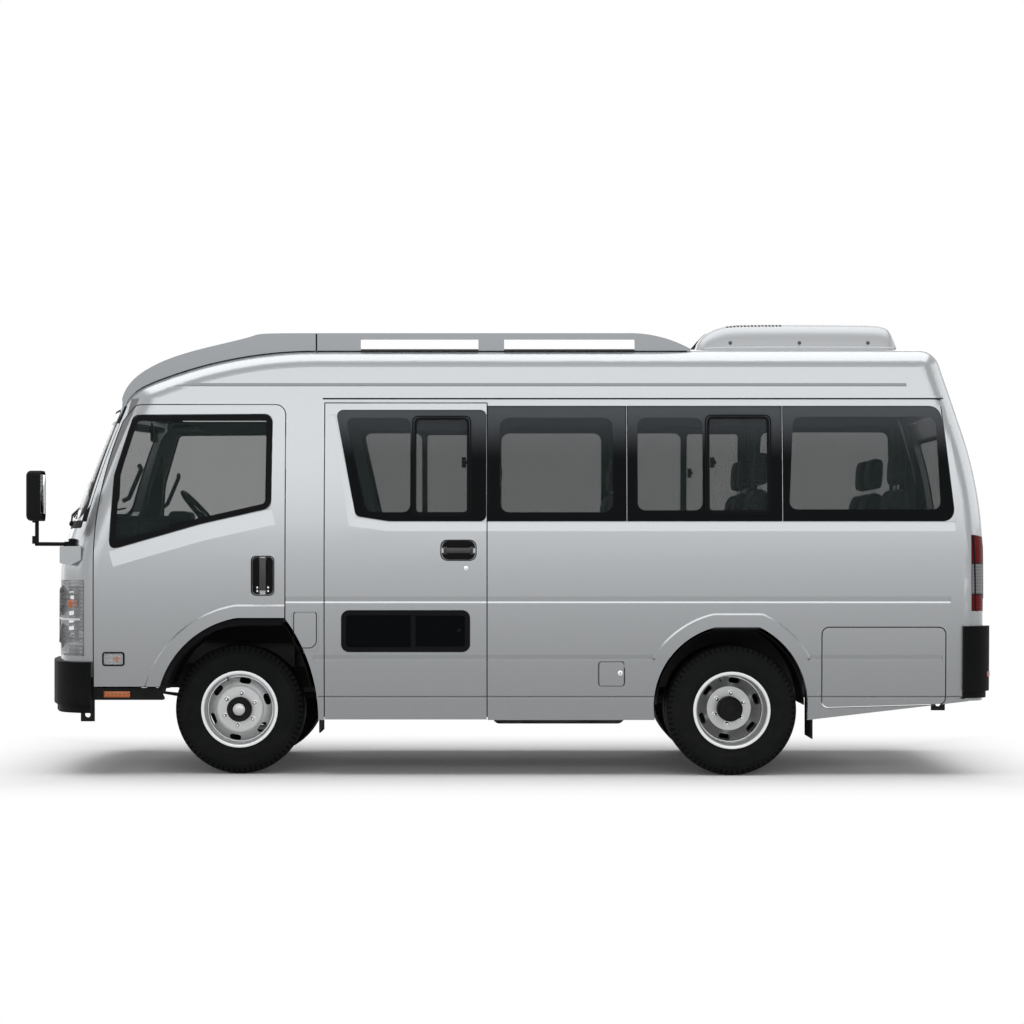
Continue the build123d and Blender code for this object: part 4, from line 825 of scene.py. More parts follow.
# amber marker on the cab step
for side, sign in SIDES:
    marker = joined(
        brick((2.166, 0.905, 0.449), (2.303, 0.9185, 0.474), 0.003),
        brick((2.160, 0.903, 0.444), (2.309, 0.9150, 0.479), 0.003),
    )
    piece(f"cab_step_marker_{side}", scaled(marker, y=sign), amber_lens)

# rubber lip just inside the cab wheel arch, flattened towards the skin
LIP_Y, LIP_RADIUS, LIP_FLAT = 0.895, 0.022, 0.55
FRONT_ARCH = [
    (1.985, 0.470), (1.972, 0.530), (1.945, 0.600), (1.905, 0.668), (1.860, 0.722), (1.805, 0.772),
    (1.745, 0.812), (1.680, 0.843), (1.615, 0.862), (1.550, 0.870), (1.480, 0.872), (1.300, 0.872),
]
for side, sign in SIDES:
    lip = tube([(along, LIP_Y, up) for along, up in FRONT_ARCH], LIP_RADIUS, 8)
    bmesh.ops.scale(lip, vec=(1, LIP_FLAT, 1), verts=lip.verts, space=Matrix.Translation((0, -LIP_Y, 0)))
    piece(f"front_arch_lip_{side}", scaled(lip, y=sign), seal_rubber)

# ---- front
LAMP_X = 2.585
LAMPS = ((0.715, 0.990), (0.715, 0.790))
FORWARD = (1, 0, 0)
lamp_skin, grille_skin = surface("head_lamps"), surface("grille")
for side, sign in SIDES:
    bowls = []
    for across, up, radius in ((*LAMPS[0], 0.085), (*LAMPS[1], 0.070), (0.845, 0.800, 0.040)):
        bowl = [(-0.050, 0.008), (-0.046, radius * 0.4), (-0.034, radius * 0.7), (-0.012, radius)]
        bowl.append((-0.009, radius + 0.005))
        back = 0.12 if across > 0.8 else 0.0
        bowls.append(spun(bowl, (LAMP_X - back, sign * across, up), 32, FORWARD))
    piece(f"head_lamp_reflectors_{side}", joined(*bowls), bright_steel)
    bulb = [(0.0, 0), (0.0, 0.010), (-0.030, 0.014), (-0.045, 0.014)]
    bulbs = [spun(bulb, (LAMP_X, sign * across, up), 16, FORWARD) for across, up in LAMPS]
    piece(f"head_lamp_bulbs_{side}", joined(*bulbs), clear_lens)
    corner = [(-0.03, 0), (-0.03, 0.020), (0.0, 0.026), (0.010, 0.022), (0.014, 0)]
    corner = spun(corner, (2.505, sign * 0.852, 0.975), 20, (1, sign, 0))
    piece(f"corner_lamp_bulb_{side}", corner, amber_lens)
    bar = scaled(sliced(slab(rect(0.575, 0.905, 0.880, 0.892), 0.004), x=(0.575, 0.905, 10)), x=sign)
    piece(f"head_lamp_divider_{side}", laid(bar, lamp_skin, "front"), wheel_silver)

uprights = []
for across in [index * 0.045 - 0.495 for index in range(23)]:
    back = 0.10 * abs(across) ** 2
    uprights.append(brick((2.560 - back, across - 0.002, 0.745), (2.575 - back, across + 0.002, 1.055)))
piece("grille_uprights", joined(*uprights), black_plastic)
MESH_LINE = [(-0.50, 0.742), (-0.535, 1.058), (0.535, 1.058), (0.50, 0.742)]
back_board = sliced(slab(MESH_LINE, 0.004, 0.03), x=(-0.54, 0.54, 12))
piece("grille_mesh_board", laid(back_board, grille_skin, "front", -0.085), gloss_black)
GRILLE_LINE = [(-0.498, 0.738), (-0.540, 1.062), (0.540, 1.062), (0.498, 0.738)]
grille_rim = sliced(border(GRILLE_LINE, 0.012, 0.004, 0.042), x=(-0.55, 0.55, 16), z=(0.73, 1.07, 4))
piece("grille_rim", laid(grille_rim, grille_skin, "front"), wheel_silver)

SCUTTLE_LINE = [(-0.85, 1.404), (0.85, 1.404), (0.842, 1.447), (-0.842, 1.447)]
scuttle = sliced(slab(SCUTTLE_LINE, 0.004, 0.012), x=(-0.86, 0.86, 24))
piece("scuttle_strip", laid(scuttle, surface("front_panel"), "front"), black_plastic)


def wiper(name, pivot, middle, tip, low, high, body, skin, facing):
    """A wiper: its arm stands off the glass and carries a rubber blade."""
    start_at, way = FACINGS[facing]

    def at(spot, lift):
        return skin.ray_cast(Vector(start_at(*spot)), Vector(way))[0] - Vector(way) * lift

    arm = tube([at(pivot, 0.012), at(middle, 0.026), at(tip, 0.018)], 0.0055, 8)
    steps = [Vector(low).lerp(Vector(high), index / 8) for index in range(9)]
    blade = tube([at(spot, 0.010) for spot in steps], 0.0060, 6)
    spine = tube([at(spot, 0.018) for spot in steps[1:8]], 0.0035, 6)
    boss = [(-0.012, 0.016), (0.012, 0.016), (0.018, 0.010), (0.019, 0)]
    boss = spun(boss, at(pivot, 0.004), 20, (1, 0, 0.3) if facing == "front" else (-1, 0, 0))
    piece(name, joined(arm, blade, spine, boss), black_plastic, body)


front_skin = surface("windshield", "front_panel")
LEFT_WIPER = (0.62, 1.430), (0.42, 1.485), (0.14, 1.530), (0.50, 1.472), (-0.12, 1.548)
RIGHT_WIPER = (-0.10, 1.430), (-0.30, 1.485), (-0.50, 1.530), (-0.17, 1.472), (-0.76, 1.548)
wiper("wiper_left", *LEFT_WIPER, "root", front_skin, "front")
wiper("wiper_right", *RIGHT_WIPER, "root", front_skin, "front")

bumper_skin = surface("front_bumper")
FOG_HOUSING = [(0.0, 0.062), (0.018, 0.062), (0.022, 0.055), (0.012, 0.050), (-0.01, 0.046)]
FOG_LENS = [(0.008, 0.050), (0.013, 0.035), (0.016, 0)]
for side, sign in SIDES:
    face = bumper_skin.ray_cast(Vector((FAR, sign * 0.610, 0.475)), Vector((-1, 0, 0)))[0]
    spot, way = face - Vector((0.034, 0, 0)), (1, sign * 0.12, 0)
    piece(f"fog_lamp_{side}_housing", spun(FOG_HOUSING, spot, 36, way), gloss_black)
    piece(f"fog_lamp_{side}_lens", spun(FOG_LENS, spot, 36, way), clear_lens)
intake_bars = joined(*[
    sliced(slab(rect(-0.42, 0.42, up, up + 0.006), 0.010), x=(-0.42, 0.42, 10))
    for up in (0.445, 0.460, 0.475, 0.490, 0.505)
])
piece("bumper_intake_bars", laid(intake_bars, bumper_skin, "front", -0.004), black_plastic)
front_plate = sliced(slab(rect(-0.235, 0.235, 0.535, 0.630), 0.004, 0.008), x=(-0.24, 0.24, 6))
piece("front_plate_blank", laid(front_plate, bumper_skin, "front", 0.002), unit_grey)

# seals down both sides of the screen
PILLAR_LINE = [(0.836, 1.44), (0.866, 1.44), (0.790, 2.10), (0.768, 2.10)]
for side, sign in SIDES:
    pillar = scaled(sliced(slab(PILLAR_LINE, 0.0015), z=(1.44, 2.10, 14)), x=sign)
    piece(f"screen_pillar_seal_{side}", laid(pillar, front_skin, "front", SEAL_LIFT), seal_rubber)

# ---- mirrors
COLLARS = (
    ([(-0.030, 0.012), (-0.030, 0.021), (0.020, 0.021), (0.026, 0.015), (0.026, 0)], (2.500, 0.842, 1.318)),
    ([(-0.022, 0), (-0.022, 0.019), (0.022, 0.019), (0.022, 0)], (2.680, 0.985, 1.335)),
    ([(-0.016, 0), (-0.016, 0.018), (0.016, 0.018), (0.016, 0)], (2.680, 0.985, 1.448)),
)
for side, sign in SIDES:
    # The mirror face carries the painted dark reflection.
    glass_face = brick((2.6385, 0.918, 1.482), (2.6410, 1.052, 1.702), 0.001)
    piece(f"mirror_face_{side}", scaled(glass_face, y=sign), mirror_painted_dark)
    collars = [spun(profile, (x, sign * y, z), 20, AXES["z"]) for profile, (x, y, z) in COLLARS]
    piece(f"mirror_arm_collars_{side}", joined(*collars), black_plastic)

# ---- roof
roof_skin = surface("roof_panel")
for side, sign in SIDES:
    for number, (front, rear) in enumerate(((2.150, 1.124), (1.111, -1.000)), 1):
        strip = scaled(sliced(slab(rect(rear, front, 0.699, 0.777), 0.007), x=(rear, front, 24)), z=sign)
        piece(f"rail_gasket_{side}_{number}", laid(strip, roof_skin, "top", -0.001), seal_rubber)
    # Painted shadow: a thin dark rubber strip under the drip rail stands in for the rail's shadow.
    drip_shadow_strip = sliced(slab(rect(-2.446, 1.073, 2.1345, 2.1405), 0.007), x=(-2.446, 1.073, 3))
    piece(f"drip_rail_painted_shadow_{side}", on_side(drip_shadow_strip, 0, sign), seal_rubber)

gasket = border(rect(-2.238, -1.084, -0.557, 0.557), 0.045, 0.009, 0.060, steps=6)
sliced(gasket, x=(-2.24, -1.08, 10), z=(-0.56, 0.56, 8))
piece("unit_gasket", laid(gasket, roof_skin, "top"), seal_rubber)

# The roof unit's outline from the side (along, top), and half its section (shares of half width and height).
UNIT_FRONT, UNIT_REAR, UNIT_FOOT, UNIT_HALF, UNIT_CORNER = -1.070, -2.248, 2.438, 0.560, 0.07
UNIT_LINE = [
    (UNIT_FRONT, 2.446), (-1.076, 2.478), (-1.092, 2.506), (-1.112, 2.528), (-1.140, 2.550), (-1.172, 2.568),
    (-1.210, 2.582), (-1.250, 2.592), (-1.310, 2.598), (-1.420, 2.600), (-1.560, 2.601), (-1.700, 2.601),
    (-1.840, 2.600), (-1.980, 2.599), (-2.080, 2.597), (-2.140, 2.593), (-2.172, 2.586), (-2.194, 2.572),
    (-2.208, 2.550), (-2.222, 2.515), (-2.236, 2.478), (UNIT_REAR, 2.446),
]
UNIT_SECTION = [
    (1.010, 0.0), (1.010, 0.10), (1.000, 0.14), (0.984, 0.15), (0.978, 0.30), (0.968, 0.48), (0.955, 0.62),
    (0.938, 0.74), (0.912, 0.84), (0.878, 0.91), (0.830, 0.955), (0.760, 0.98), (0.620, 0.992),
    (0.400, 1.0), (0.0, 1.0),
]


def unit_cover():
    """The roof unit's moulded cover: a flange, leaning sides and shoulders that fall away at each end."""
    section = UNIT_SECTION + [(-reach, share) for reach, share in reversed(UNIT_SECTION[:-1])]
    bm = bmesh.new()
    rows = []
    for along, top in UNIT_LINE:
        end = min(UNIT_FRONT - along, along - UNIT_REAR)
        rounding = UNIT_CORNER - sqrt(UNIT_CORNER**2 - (UNIT_CORNER - end) ** 2) if end < UNIT_CORNER else 0.0
        half, rise = UNIT_HALF - rounding, top - UNIT_FOOT
        row = [(along, half * reach, UNIT_FOOT + rise * share) for reach, share in section]
        rows.append([bm.verts.new(spot) for spot in row])
    for row, after in zip(rows, rows[1:]):
        for index in range(len(section) - 1):
            bm.faces.new((row[index], row[index + 1], after[index + 1], after[index]))
    for row in (rows[0], rows[-1]):
        bm.faces.new(row)
    bm.faces.new([row[0] for row in rows] + [row[-1] for row in reversed(rows)])
    return bm


cover = piece("roof_unit_cover", unit_cover(), unit_grey, slot="unit_cover", crease=40)
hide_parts("air_conditioner")
unit_skin = surface(cover)
SLOT_IN, SLOT_OUT = 0.440, 0.500
SCREW = [(0, 0), (0.004, 0), (0.005, 0.004), (0.003, 0.010), (0, 0.011)]
for side, sign in SIDES:
    slots = []
    for start in [-1.250 - number * 0.0205 for number in range(16)]:
        slot = slab(rect(start - 0.012, start, SLOT_IN * sign, SLOT_OUT * sign), 0.0015)
        slots.append(laid(sliced(slot, z=(SLOT_IN * sign, SLOT_OUT * sign, 4)), unit_skin, "top"))
    piece(f"unit_top_slots_{side}", joined(*slots), gloss_black)
    screws = [laid(spun(SCREW, (along, 0, 2.482), 14), unit_skin, side) for along in (-1.268, -1.669, -2.067)]
    piece(f"unit_screws_{side}", joined(*screws), cast_iron)
intake = sliced(slab(rect(-0.430, 0.430, 2.460, 2.548), 0.0015, 0.02), x=(-0.43, 0.43, 24), z=(2.46, 2.55, 6))
piece("unit_front_intake", laid(intake, unit_skin, "front"), gloss_black)
bars = joined(*[
    sliced(slab(rect(across, across + 0.006, 2.462, 2.546), 0.003), z=(2.462, 2.546, 5))
    for across in [index * 0.026 - 0.419 for index in range(33)]
])
piece("unit_intake_bars", laid(bars, unit_skin, "front", 0.001), black_plastic)

FAN_CENTRE = (0, 0, 0)
FAN_RINGS = (0.020, 0.055, 0.090, 0.125, 0.160, 0.195)
for number, along in enumerate((-1.440, -1.880), 1):
    rings = [
        spun([(0.0, r), (0.006, r + 0.002), (0.006, r + 0.006), (0.0, r + 0.008)], FAN_CENTRE, 40)
        for r in FAN_RINGS
    ]
    well = spun([(0.0015, 0), (0.0015, 0.200)], FAN_CENTRE, 40)
    spokes = []
    for turn in range(8):
        spoke = slab(rect(0.020, 0.200, -0.003, 0.003), 0.007)
        spin = Matrix.Rotation(turn * pi / 4, 3, "Y")
        bmesh.ops.rotate(spoke, cent=FAN_CENTRE, matrix=spin, verts=spoke.verts)
        spokes.append(spoke)
    guard = joined(*rings, *spokes)
    parts = (("well", well, gloss_black, 0.0), ("guard", guard, black_plastic, 0.001))
    for name, shape, finish, lift in parts:
        bmesh.ops.translate(shape, vec=(along, 0, 0), verts=shape.verts)
        piece(f"unit_fan_{name}_{number}", laid(shape, unit_skin, "top", lift), finish)

for side, sign in SIDES:
    filler = joined(
        brick((1.1115, 0.708, 2.416), (1.1235, 0.768, 2.5165), 0.002),
        brick((1.1105, 0.706, 2.412), (1.1245, 0.770, 2.4180), 0.001),
    )
    piece(f"rail_joint_{side}", scaled(filler, y=sign), seal_rubber)

# ---- rear
BACK_LINE = [(-0.672, 1.437), (0.672, 1.437), (0.652, 1.994), (-0.652, 1.994)]
back_seal = sliced(border(BACK_LINE, 0.016, 0.005, 0.07, 6), z=(1.44, 1.99, 8), x=(-0.67, 0.67, 12))
laid(back_seal, surface("tailgate_glass"), "rear", SEAL_LIFT)
piece("tailgate_window_seal", back_seal, seal_rubber, "tailgate")
BACK_WIPER = (0.0, 1.400), (0.10, 1.470), (0.20, 1.530), (0.02, 1.478), (0.40, 1.580)
wiper("tailgate_wiper", *BACK_WIPER, "tailgate", surface("tailgate", "tailgate_glass"), "rear")
gate_skin = surface("tailgate")
cup = laid(slab(rect(-0.104, 0.104, 1.014, 1.066), 0.003, 0.012), gate_skin, "rear")
piece("tailgate_handle_cup", cup, gloss_black, "tailgate")
pull = brick((-2.6835, -0.085, 1.030), (-2.668, 0.085, 1.052), 0.006, 3)
piece("tailgate_handle", pull, black_plastic, "tailgate")
blank = laid(slab(rect(-0.225, 0.225, 0.800, 0.950), 0.003, 0.010), gate_skin, "rear")
piece("rear_plate_blank", blank, unit_grey, "tailgate")
lamp_bar = brick((-2.6900, -0.150, 0.966), (-2.676, 0.150, 0.990), 0.005, 3)
piece("plate_lamp_housing", lamp_bar, black_plastic, "tailgate")
stop = laid(slab(rect(-0.160, 0.160, 2.006, 2.030), 0.012, 0.008), gate_skin, "rear")
piece("high_stop_lamp", stop, red_lens, "tailgate")
TAIL_LINE = [(0.836, 0.931), (0.836, 1.356), (0.912, 1.362), (0.912, 0.931)]
HINGE_PIN = [(-0.05, 0), (-0.05, 0.010), (0.05, 0.010), (0.05, 0)]
lamp_surround, rear_bumper_skin = surface("tail_lamps", "rear_panel"), surface("rear_bumper")
for side, sign in SIDES:
    rim = sliced(scaled(border(TAIL_LINE, 0.005, 0.0025, 0.012), x=sign), z=(0.93, 1.37, 6))
    piece(f"tail_lamp_rim_{side}", laid(rim, lamp_surround, "rear"), black_plastic)
    middle = sign * 0.50
    hinge = joined(
        brick((-2.560, middle - 0.045, 2.076), (-2.500, middle + 0.045, 2.096), 0.004),
        spun(HINGE_PIN, (-2.548, middle, 2.078), 14),
    )
    piece(f"tailgate_hinge_leaf_{side}", hinge, silver_ends)
    reflector = sliced(slab(rect(0.780, 0.880, 0.560, 0.590), 0.004, 0.006), x=(0.78, 0.88, 8))
    scaled(reflector, x=sign)
    piece(f"rear_reflector_{side}", laid(reflector, rear_bumper_skin, "rear"), red_lens)
treads = joined(*[
    brick((-2.690 + 0.014 * index, -0.70, 0.689), (-2.683 + 0.014 * index, 0.70, 0.6935), 0.001)
    for index in range(5)
])
piece("bumper_step_ridges", treads, black_plastic)

# ---- wheels
NUTS, NUT_TURN = 6, 37
BEAD_SPOT, LEDGE_SPOT, PLATEAU_SPOT, VALVE_TURN = (0.214, 1.0), (0.186, 1.0), (0.100, 0.3), 1.2
HUB_REACHES = (0.0, 0.02, 0.04, 0.055)
FACE_DEPTH = 0.1
WASHER = [(0, 0.0155), (0.003, 0.0155), (0.003, 0.010)]
NUT = [(0.002, 0.0135), (0.016, 0.0135), (0.020, 0.0105), (0.024, 0.006), (0.025, 0)]
BEAD = [(-0.006, 0.203), (0.001, 0.205), (0.002, 0.212), (0.0015, 0.218), (-0.004, 0.2205)]
LEDGE = [(-0.002, 0.181), (0.002, 0.184), (0.002, 0.188), (-0.002, 0.191)]
PLATEAU = [(-0.003, 0.128), (0.0015, 0.1305), (0.0015, 0.1335), (-0.003, 0.137)]


def wheel_details(body, rim, sign, along, height, knuckle):
    """The bright rings, hub, nuts and valve of one wheel or pair; a steered wheel has a knuckle."""
    axis = (0, sign, 0)
    low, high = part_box(rim)
    outer = high.y if sign > 0 else -low.y

    def turned(name, profile, out, finish, steps):
        piece(f"{body}_{name}", spun(profile, (along, sign * out, height), steps, axis), finish, body)

    def out_at(skin, radius, turn):
        """How far out a surface lies at a radius and a turn from the wheel's centre."""
        start = Vector((along + radius * cos(turn), sign * FAR, height + radius * sin(turn)))
        hit = skin.ray_cast(start, Vector((0, -sign, 0)))[0]
        return abs(hit.y) if hit is not None else outer - FACE_DEPTH

    rim_skin = surface(rim)
    bead_y = out_at(rim_skin, *BEAD_SPOT)
    turned("bead_ring", BEAD, bead_y, bright_steel, 72)
    turned("step_ring", LEDGE, out_at(rim_skin, *LEDGE_SPOT), bright_steel, 72)
    plateau_y = out_at(rim_skin, *PLATEAU_SPOT)
    turned("plateau_ring", PLATEAU, plateau_y, wheel_silver, 64)
    hubs = surface(rim, *knuckle)
    rise = max(max(out_at(hubs, reach, 0.0) for reach in HUB_REACHES) - plateau_y, 0.004)
    if knuckle:
        foot = [(-0.004, 0.070)]
        face = [(0, 0.070), (0.004, 0.066), (0.005, 0.042), (0, 0.038), (0, 0)]
        cap = [(0, 0.036), (0.010, 0.034), (0.016, 0.026), (0.018, 0.012), (0.018, 0)]
        turned("hub_cap", [(rise + out, radius) for out, radius in cap], plateau_y, wheel_silver, 40)
    else:
        foot = [(-0.004, 0.071)]
        face = [(0, 0.071), (0.006, 0.063), (0.007, 0.036), (0.012, 0.030), (0.013, 0)]
    turned("hub_ring", foot + [(rise + out, radius) for out, radius in face], plateau_y, black_plastic, 48)
    circle = 0.093 if knuckle else 0.090
    nuts = []
    for number in range(NUTS):
        turn = radians(NUT_TURN + 360 / NUTS * number)
        spot = (along + circle * cos(turn), sign * plateau_y, height + circle * sin(turn))
        nuts += [spun(WASHER, spot, 20, axis), spun(NUT, spot, 6, axis)]
    piece(f"{body}_nuts", joined(*nuts), bright_steel, body, crease=25)
    stem = tube([
        (along + reach * cos(VALVE_TURN), sign * (bead_y + out), height + reach * sin(VALVE_TURN))
        for reach, out in ((0.196, -0.02), (0.176, 0.004))
    ], 0.004, 8)
    piece(f"{body}_valve", stem, black_plastic, body)


for side, sign in SIDES:
    wheel_details(f"front_{side}_wheel", f"front_{side}_rim", sign, *FRONT_WHEEL, [f"{side}_knuckle"])
for side, sign in SIDES:
    wheel_details(f"rear_{side}_wheels", f"rear_{side}_rims", sign, *REAR_WHEEL, [])

# ---- cabin
GRAB = ((2.215, 0.800, 1.560), (2.190, 0.765, 1.575), (2.120, 0.765, 1.740), (2.125, 0.800, 1.760))
DOOR_PULL = ((1.420, 0.862, 1.180), (1.440, 0.830, 1.180), (1.640, 0.830, 1.200), (1.660, 0.862, 1.200))
for side, sign in SIDES:
    grab = tube([(along, sign * across, up) for along, across, up in GRAB], 0.013)
    piece(f"pillar_grab_handle_{side}", grab, dash_plastic)
    visor = brick((1.95, sign * 0.45 - 0.20, 2.030), (2.09, sign * 0.45 + 0.20, 2.048), 0.008, 3)
    piece(f"sun_visor_{side}", visor, dash_plastic, slot="seat_cloth")
for side, sign in SIDES:
    pull = tube([(along, sign * across, up) for along, across, up in DOOR_PULL], 0.012)
    piece(f"door_pull_{side}", pull, dash_plastic, f"front_{side}_door")
HAND_RAIL = ((1.040, 0.740), (1.040, 1.250), (0.960, 1.330), (0.760, 1.330))
piece("entry_hand_rail", tube([(along, 0.470, up) for along, up in HAND_RAIL], 0.016, 12), bright_steel)
lever = tube([(1.900, -0.030, 0.960), (1.870, -0.030, 1.150), (1.840, -0.030, 1.230)], 0.009)
piece("gear_lever", lever, bright_steel)
GEAR_KNOB = [(-0.025, 0), (-0.022, 0.012), (0.0, 0.021), (0.020, 0.018), (0.026, 0)]
piece("gear_knob", spun(GEAR_KNOB, (1.838, -0.030, 1.250), 20, AXES["z"]), wheel_plastic)
piece("steering_column", tube([(2.060, -0.400, 1.340), (1.960, -0.400, 1.428)], 0.030, 16), dash_plastic)
piece("instrument_hood", brick((1.985, -0.58, 1.440), (2.110, -0.22, 1.520), 0.030, 4), dash_plastic)
inner_mirror = brick((2.150, -0.10, 1.930), (2.170, 0.10, 1.990), 0.008, 3)
stalk = tube([(2.160, 0, 1.985), (2.175, 0, 2.045)], 0.006, 8)
piece("inner_mirror", joined(inner_mirror, stalk), dash_plastic)
OUTLET = [(0, 0.030), (-0.006, 0.030), (-0.010, 0.022), (-0.004, 0)]
for side, sign in SIDES:
    duct = brick((-2.30, sign * 0.56 - 0.14, 2.130), (0.95, sign * 0.56 + 0.14, 2.160), 0.010, 3)
    piece(f"air_duct_{side}", duct, dash_plastic)
    outlets = [spun(OUTLET, (along, sign * 0.52, 2.130), 20, AXES["z"]) for along in (-2.0, -1.2, -0.4, 0.4)]
    piece(f"air_outlets_{side}", joined(*outlets), black_plastic)

# ---- seats
SETTLING_FRAMES = 20
STITCH_REACH, STITCH_DEPTH = 0.016, 0.009
STITCHES = (-0.22, 0.22)


def settled(form):
    """The same object with its modifiers made real."""
    bpy.context.view_layer.update()
    graph = bpy.context.evaluated_depsgraph_get()
    mesh = bpy.data.meshes.new_from_object(form.evaluated_get(graph))
    form.modifiers.clear()
    form.data = mesh
    return form


def padded_shape(name, size, voxel, swell, cap):
    """A stuffed cushion: a soft block, swollen as cloth under pressure, with its movement capped."""
    bm = bmesh.new()
    bmesh.ops.create_cube(bm, size=1)
    bmesh.ops.scale(bm, vec=size, verts=bm.verts)
    bmesh.ops.bevel(
        bm, geom=bm.edges[:], offset=min(size) * 0.26, affect="EDGES", segments=4, profile=0.5, material=-1
    )
    mesh = bpy.data.meshes.new(name)
    bm.to_mesh(mesh)
    bm.free()
    form = bpy.data.objects.new(name, mesh)
    scene.collection.objects.link(form)
    remesh = form.modifiers.new("even", "REMESH")
    remesh.mode = "VOXEL"
    remesh.voxel_size = voxel
    form = settled(form)
    rest = [vertex.co.copy() for vertex in form.data.vertices]
    stuffing = form.modifiers.new("stuffing", "CLOTH")
    stuffing.settings.use_pressure = True
    stuffing.settings.uniform_pressure_force = swell
    stuffing.settings.effector_weights.gravity = 0
    stuffing.settings.quality = 4
    for number in range(1, SETTLING_FRAMES + 1):
        scene.frame_set(number)
    form = settled(form)
    for vertex, before in zip(form.data.vertices, rest):
        shift = vertex.co - before
        if shift.length > cap:
            vertex.co = before + shift * (cap / shift.length)
    scene.frame_set(1)
    return form


def pad(name, form, size, middle, tilt, channels):
    """A copy of a stuffed form in its place, with sewn channels, riding on the root body."""
    mesh = form.data.copy()
    shape = bmesh.new()
    shape.from_mesh(mesh)
    low = [min(vertex.co[axis] for vertex in shape.verts) for axis in range(3)]
    high = [max(vertex.co[axis] for vertex in shape.verts) for axis in range(3)]
    span = [top - foot for foot, top in zip(low, high)]
    fit = [wanted / have for wanted, have in zip(size, span)]
    shape.normal_update()
    for vertex in shape.verts:
        depth = 0.0
        for across in channels:
            gap = abs(vertex.co.y / span[1] - across) * size[1]
            if gap < STITCH_REACH:
                depth = max(depth, STITCH_DEPTH * (1 - (gap / STITCH_REACH) ** 2))
        vertex.co -= vertex.normal * depth
    bmesh.ops.scale(shape, vec=fit, verts=shape.verts)
    bmesh.ops.rotate(shape, cent=(0, 0, 0), matrix=Matrix.Rotation(tilt, 3, "Y"), verts=shape.verts)
    bmesh.ops.translate(shape, vec=middle, verts=shape.verts)
    shape.to_mesh(mesh)
    shape.free()
    mesh.materials.clear()
    mesh.materials.append(seat_cloth)
    mesh.polygons.foreach_set("use_smooth", [True] * len(mesh.polygons))
    made = bpy.data.objects.new(name, mesh)
    scene.collection.objects.link(made)
    smooth = made.modifiers.new("smooth", "SUBSURF")
    smooth.levels = smooth.render_levels = 1
    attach(made, "root")
    return made


cushion_form = padded_shape("cushion_form", (0.42, 0.35, 0.095), 0.018, 4.0, 0.026)
back_form = padded_shape("back_form", (0.105, 0.35, 0.50), 0.018, 4.0, 0.026)
head_form = padded_shape("head_form", (0.085, 0.23, 0.17), 0.016, 3.0, 0.018)
PARTS = (("cushion", cushion_form, STITCHES), ("back", back_form, STITCHES), ("headrest", head_form, ()))

# Each pad's size, its place (along, up) from the seat's own and its tilt, then the posts' feet and heads.
PASSENGER_SEAT = (
    ((0.455, 0.385, 0.125), (-0.235, 1.085), 0.03),
    ((0.125, 0.380, 0.540), (-0.545, 1.360), -0.09),
    ((0.095, 0.250, 0.190), (-0.580, 1.745), -0.07),
    ((-0.573, 1.580), (-0.580, 1.690)),
)
FRONT_SEAT = (
    ((0.455, 0.470, 0.125), (1.667, 1.128), 0.03),
    ((0.120, 0.460, 0.450), (1.358, 1.370), -0.07),
    ((0.090, 0.260, 0.165), (1.335, 1.672), -0.05),
    ((1.345, 1.560), (1.337, 1.620)),
)


def seat(tag, pattern, front, across):
    """One seat's pads and headrest posts."""
    *cushions, posts = pattern
    pads = []
    for (name, form, channels), (size, (along, up), tilt) in zip(PARTS, cushions):
        pads.append(pad(f"{tag}_{name}", form, size, (front + along, across, up), tilt, channels))
    bars = [
        tube([(front + along, across + off, up) for along, up in posts], 0.006, 8) for off in (-0.07, 0.07)
    ]
    piece(f"{tag}_headrest_posts", joined(*bars), bright_steel)
    return pads


passenger_pads, front_pads = [], []
RIGHT_ROWS, LEFT_ROWS = (0.690, -0.060, -0.850, -1.640), (-0.060, -0.850, -1.640)
places = [(row, across) for row in RIGHT_ROWS for across in (-0.640, -0.240)]
places += [(row, 0.640) for row in LEFT_ROWS]
for number, (front, across) in enumerate(places, 1):
    passenger_pads += seat(f"passenger_seat_{number}", PASSENGER_SEAT, front, across)
for number, across in enumerate((0.560, -0.560), 1):
    front_pads += seat(f"front_seat_{number}", FRONT_SEAT, 0.0, across)
for form in (cushion_form, back_form, head_form):
    bpy.data.objects.remove(form)
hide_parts("passenger_seats")
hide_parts("front_seats")


# ---- stage
def seen_rays(tree):
    """1 for the rays that meet the white backdrop: the camera's, and those by way of a mirror or pane."""
    rays = add_node(tree, "LightPath")
    kinds = ("Is Camera Ray", "Is Glossy Ray", "Is Transmission Ray")
    return largest(*[Value(tree, rays.outputs[kind]) for kind in kinds])


# The floor keeps the object's shadow near it and whitens from there outwards.
FLOOR_SIZE, WHITE_NEAR, WHITE_FAR = 40, 0.02, 0.98
WHITE_ENDS, WHITE_SIDES = (2.3, 3.5), (0.95, 2.3)
floor_shape = bmesh.new()
bmesh.ops.create_grid(floor_shape, x_segments=1, y_segments=1, size=FLOOR_SIZE)
floor_mesh = bpy.data.meshes.new("studio_floor")
floor_shape.to_mesh(floor_mesh)
floor_shape.free()
floor = bpy.data.objects.new("studio_floor", floor_mesh)
scene.collection.objects.link(floor)
floor_finish, spot = material("studio_floor_white")
tree = spot.tree
x, y, up = split(spot)
far = largest(stepped(abs(x), *WHITE_ENDS), stepped(abs(y), *WHITE_SIDES))
whiteness = add_node(tree, "Emission")
whiteness.inputs["Color"].default_value = (1, 1, 1, 1)
whiteness.inputs["Strength"].default_value = 1.0
surface_values(
    floor_finish, Base_Color=tinted((0.93, 0.93, 0.93), speckle(spot, 2.0), 0.01), Roughness=0.9,
    Specular_IOR_Level=0.0,
)
fade = add_node(tree, "MixShader")
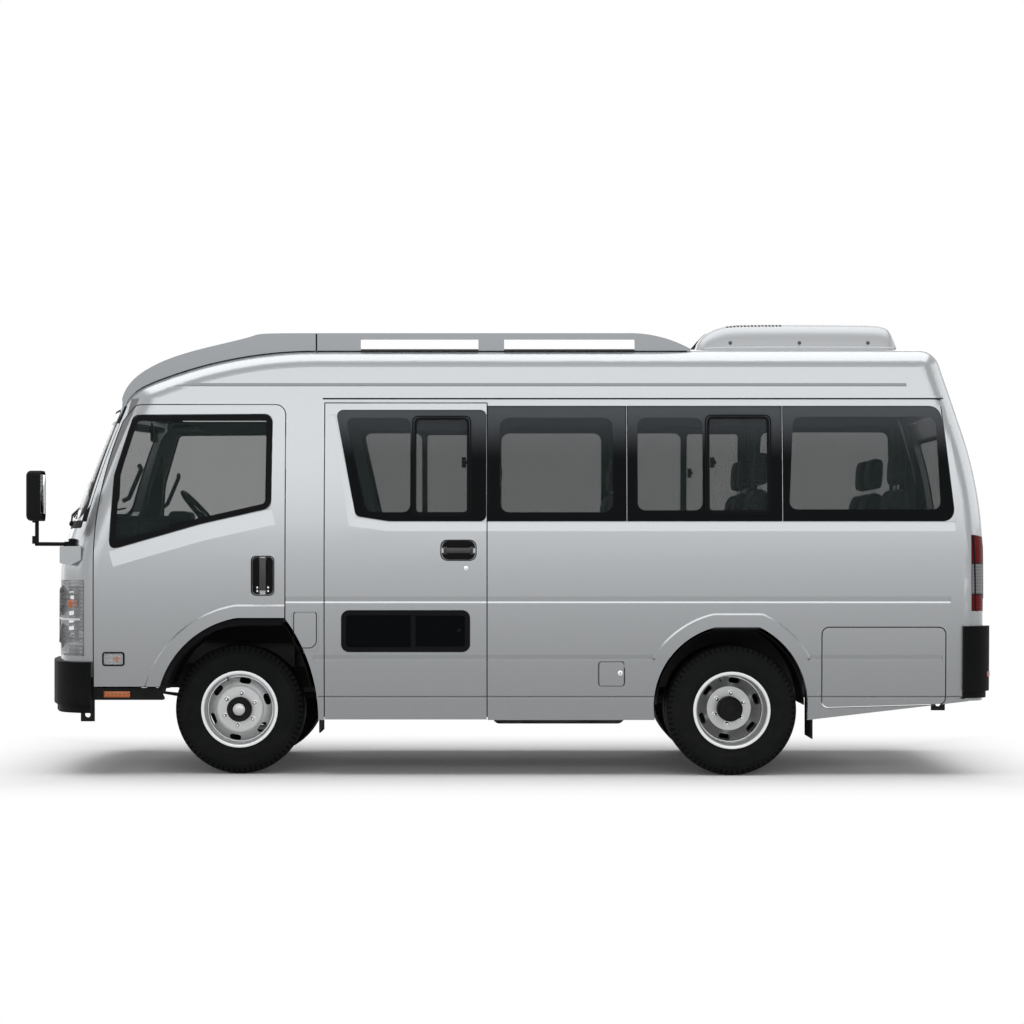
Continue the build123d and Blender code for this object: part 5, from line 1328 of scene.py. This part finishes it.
plug(fade.inputs[0], seen_rays(tree) * (WHITE_NEAR + far * WHITE_FAR))
tree.links.new(tree.nodes["Principled BSDF"].outputs[0], fade.inputs[1])
tree.links.new(whiteness.outputs[0], fade.inputs[2])
tree.links.new(fade.outputs[0], tree.nodes["Material Output"].inputs["Surface"])
floor_mesh.materials.append(floor_finish)

world = bpy.data.worlds.new("studio")
scene.world = world
world.use_nodes = True
tree = world.node_tree
tree.nodes.clear()
soft = add_node(tree, "Background")
soft.inputs["Color"].default_value = (1, 1, 1, 1)
plug(soft.inputs["Strength"], largest(seen_rays(tree), 0.17))
sky = add_node(tree, "OutputWorld")
tree.links.new(soft.outputs[0], sky.inputs["Surface"])


def lamp(name, at, aim, size, watts):
    """A large soft light pointed at a spot, unseen by the camera."""
    light = bpy.data.lights.new(name, "AREA")
    light.shape = "RECTANGLE"
    light.size, light.size_y = size
    light.energy = watts
    held = bpy.data.objects.new(name, light)
    held.location = at
    held.rotation_euler = (Vector(aim) - Vector(at)).to_track_quat("-Z", "Y").to_euler()
    held.visible_camera = False
    held.visible_transmission = False
    scene.collection.objects.link(held)


WALL_UP, WALL_OUT, OVERHEAD, SIDE_WATTS, END_WATTS = 5.4, 14.0, (0, 0.6, 7.0), 560, 340
lamp("overhead_light", OVERHEAD, (0, 0.2, 0), (12, 7), SIDE_WATTS)
lamp("near_side_light", (0, WALL_OUT, WALL_UP), (0, 0, WALL_UP), (20, 6), SIDE_WATTS)
lamp("far_side_light", (0, -WALL_OUT, WALL_UP), (0, 0, WALL_UP), (20, 6), SIDE_WATTS)
lamp("front_light", (WALL_OUT, 0, WALL_UP), (0, 0, WALL_UP), (14, 6), END_WATTS)
lamp("rear_light", (-WALL_OUT, 0, WALL_UP), (0, 0, WALL_UP), (14, 6), END_WATTS)

camera = bpy.data.objects.new("camera", bpy.data.cameras.new("camera"))
camera.location = (0, 14.425, 1.25)
camera.rotation_euler = (radians(90), 0, radians(180))
camera.data.lens = 84
camera.data.sensor_width = 36
camera.data.shift_y = 0.042
scene.collection.objects.link(camera)
scene.camera = camera
scene.view_settings.view_transform = "Standard"
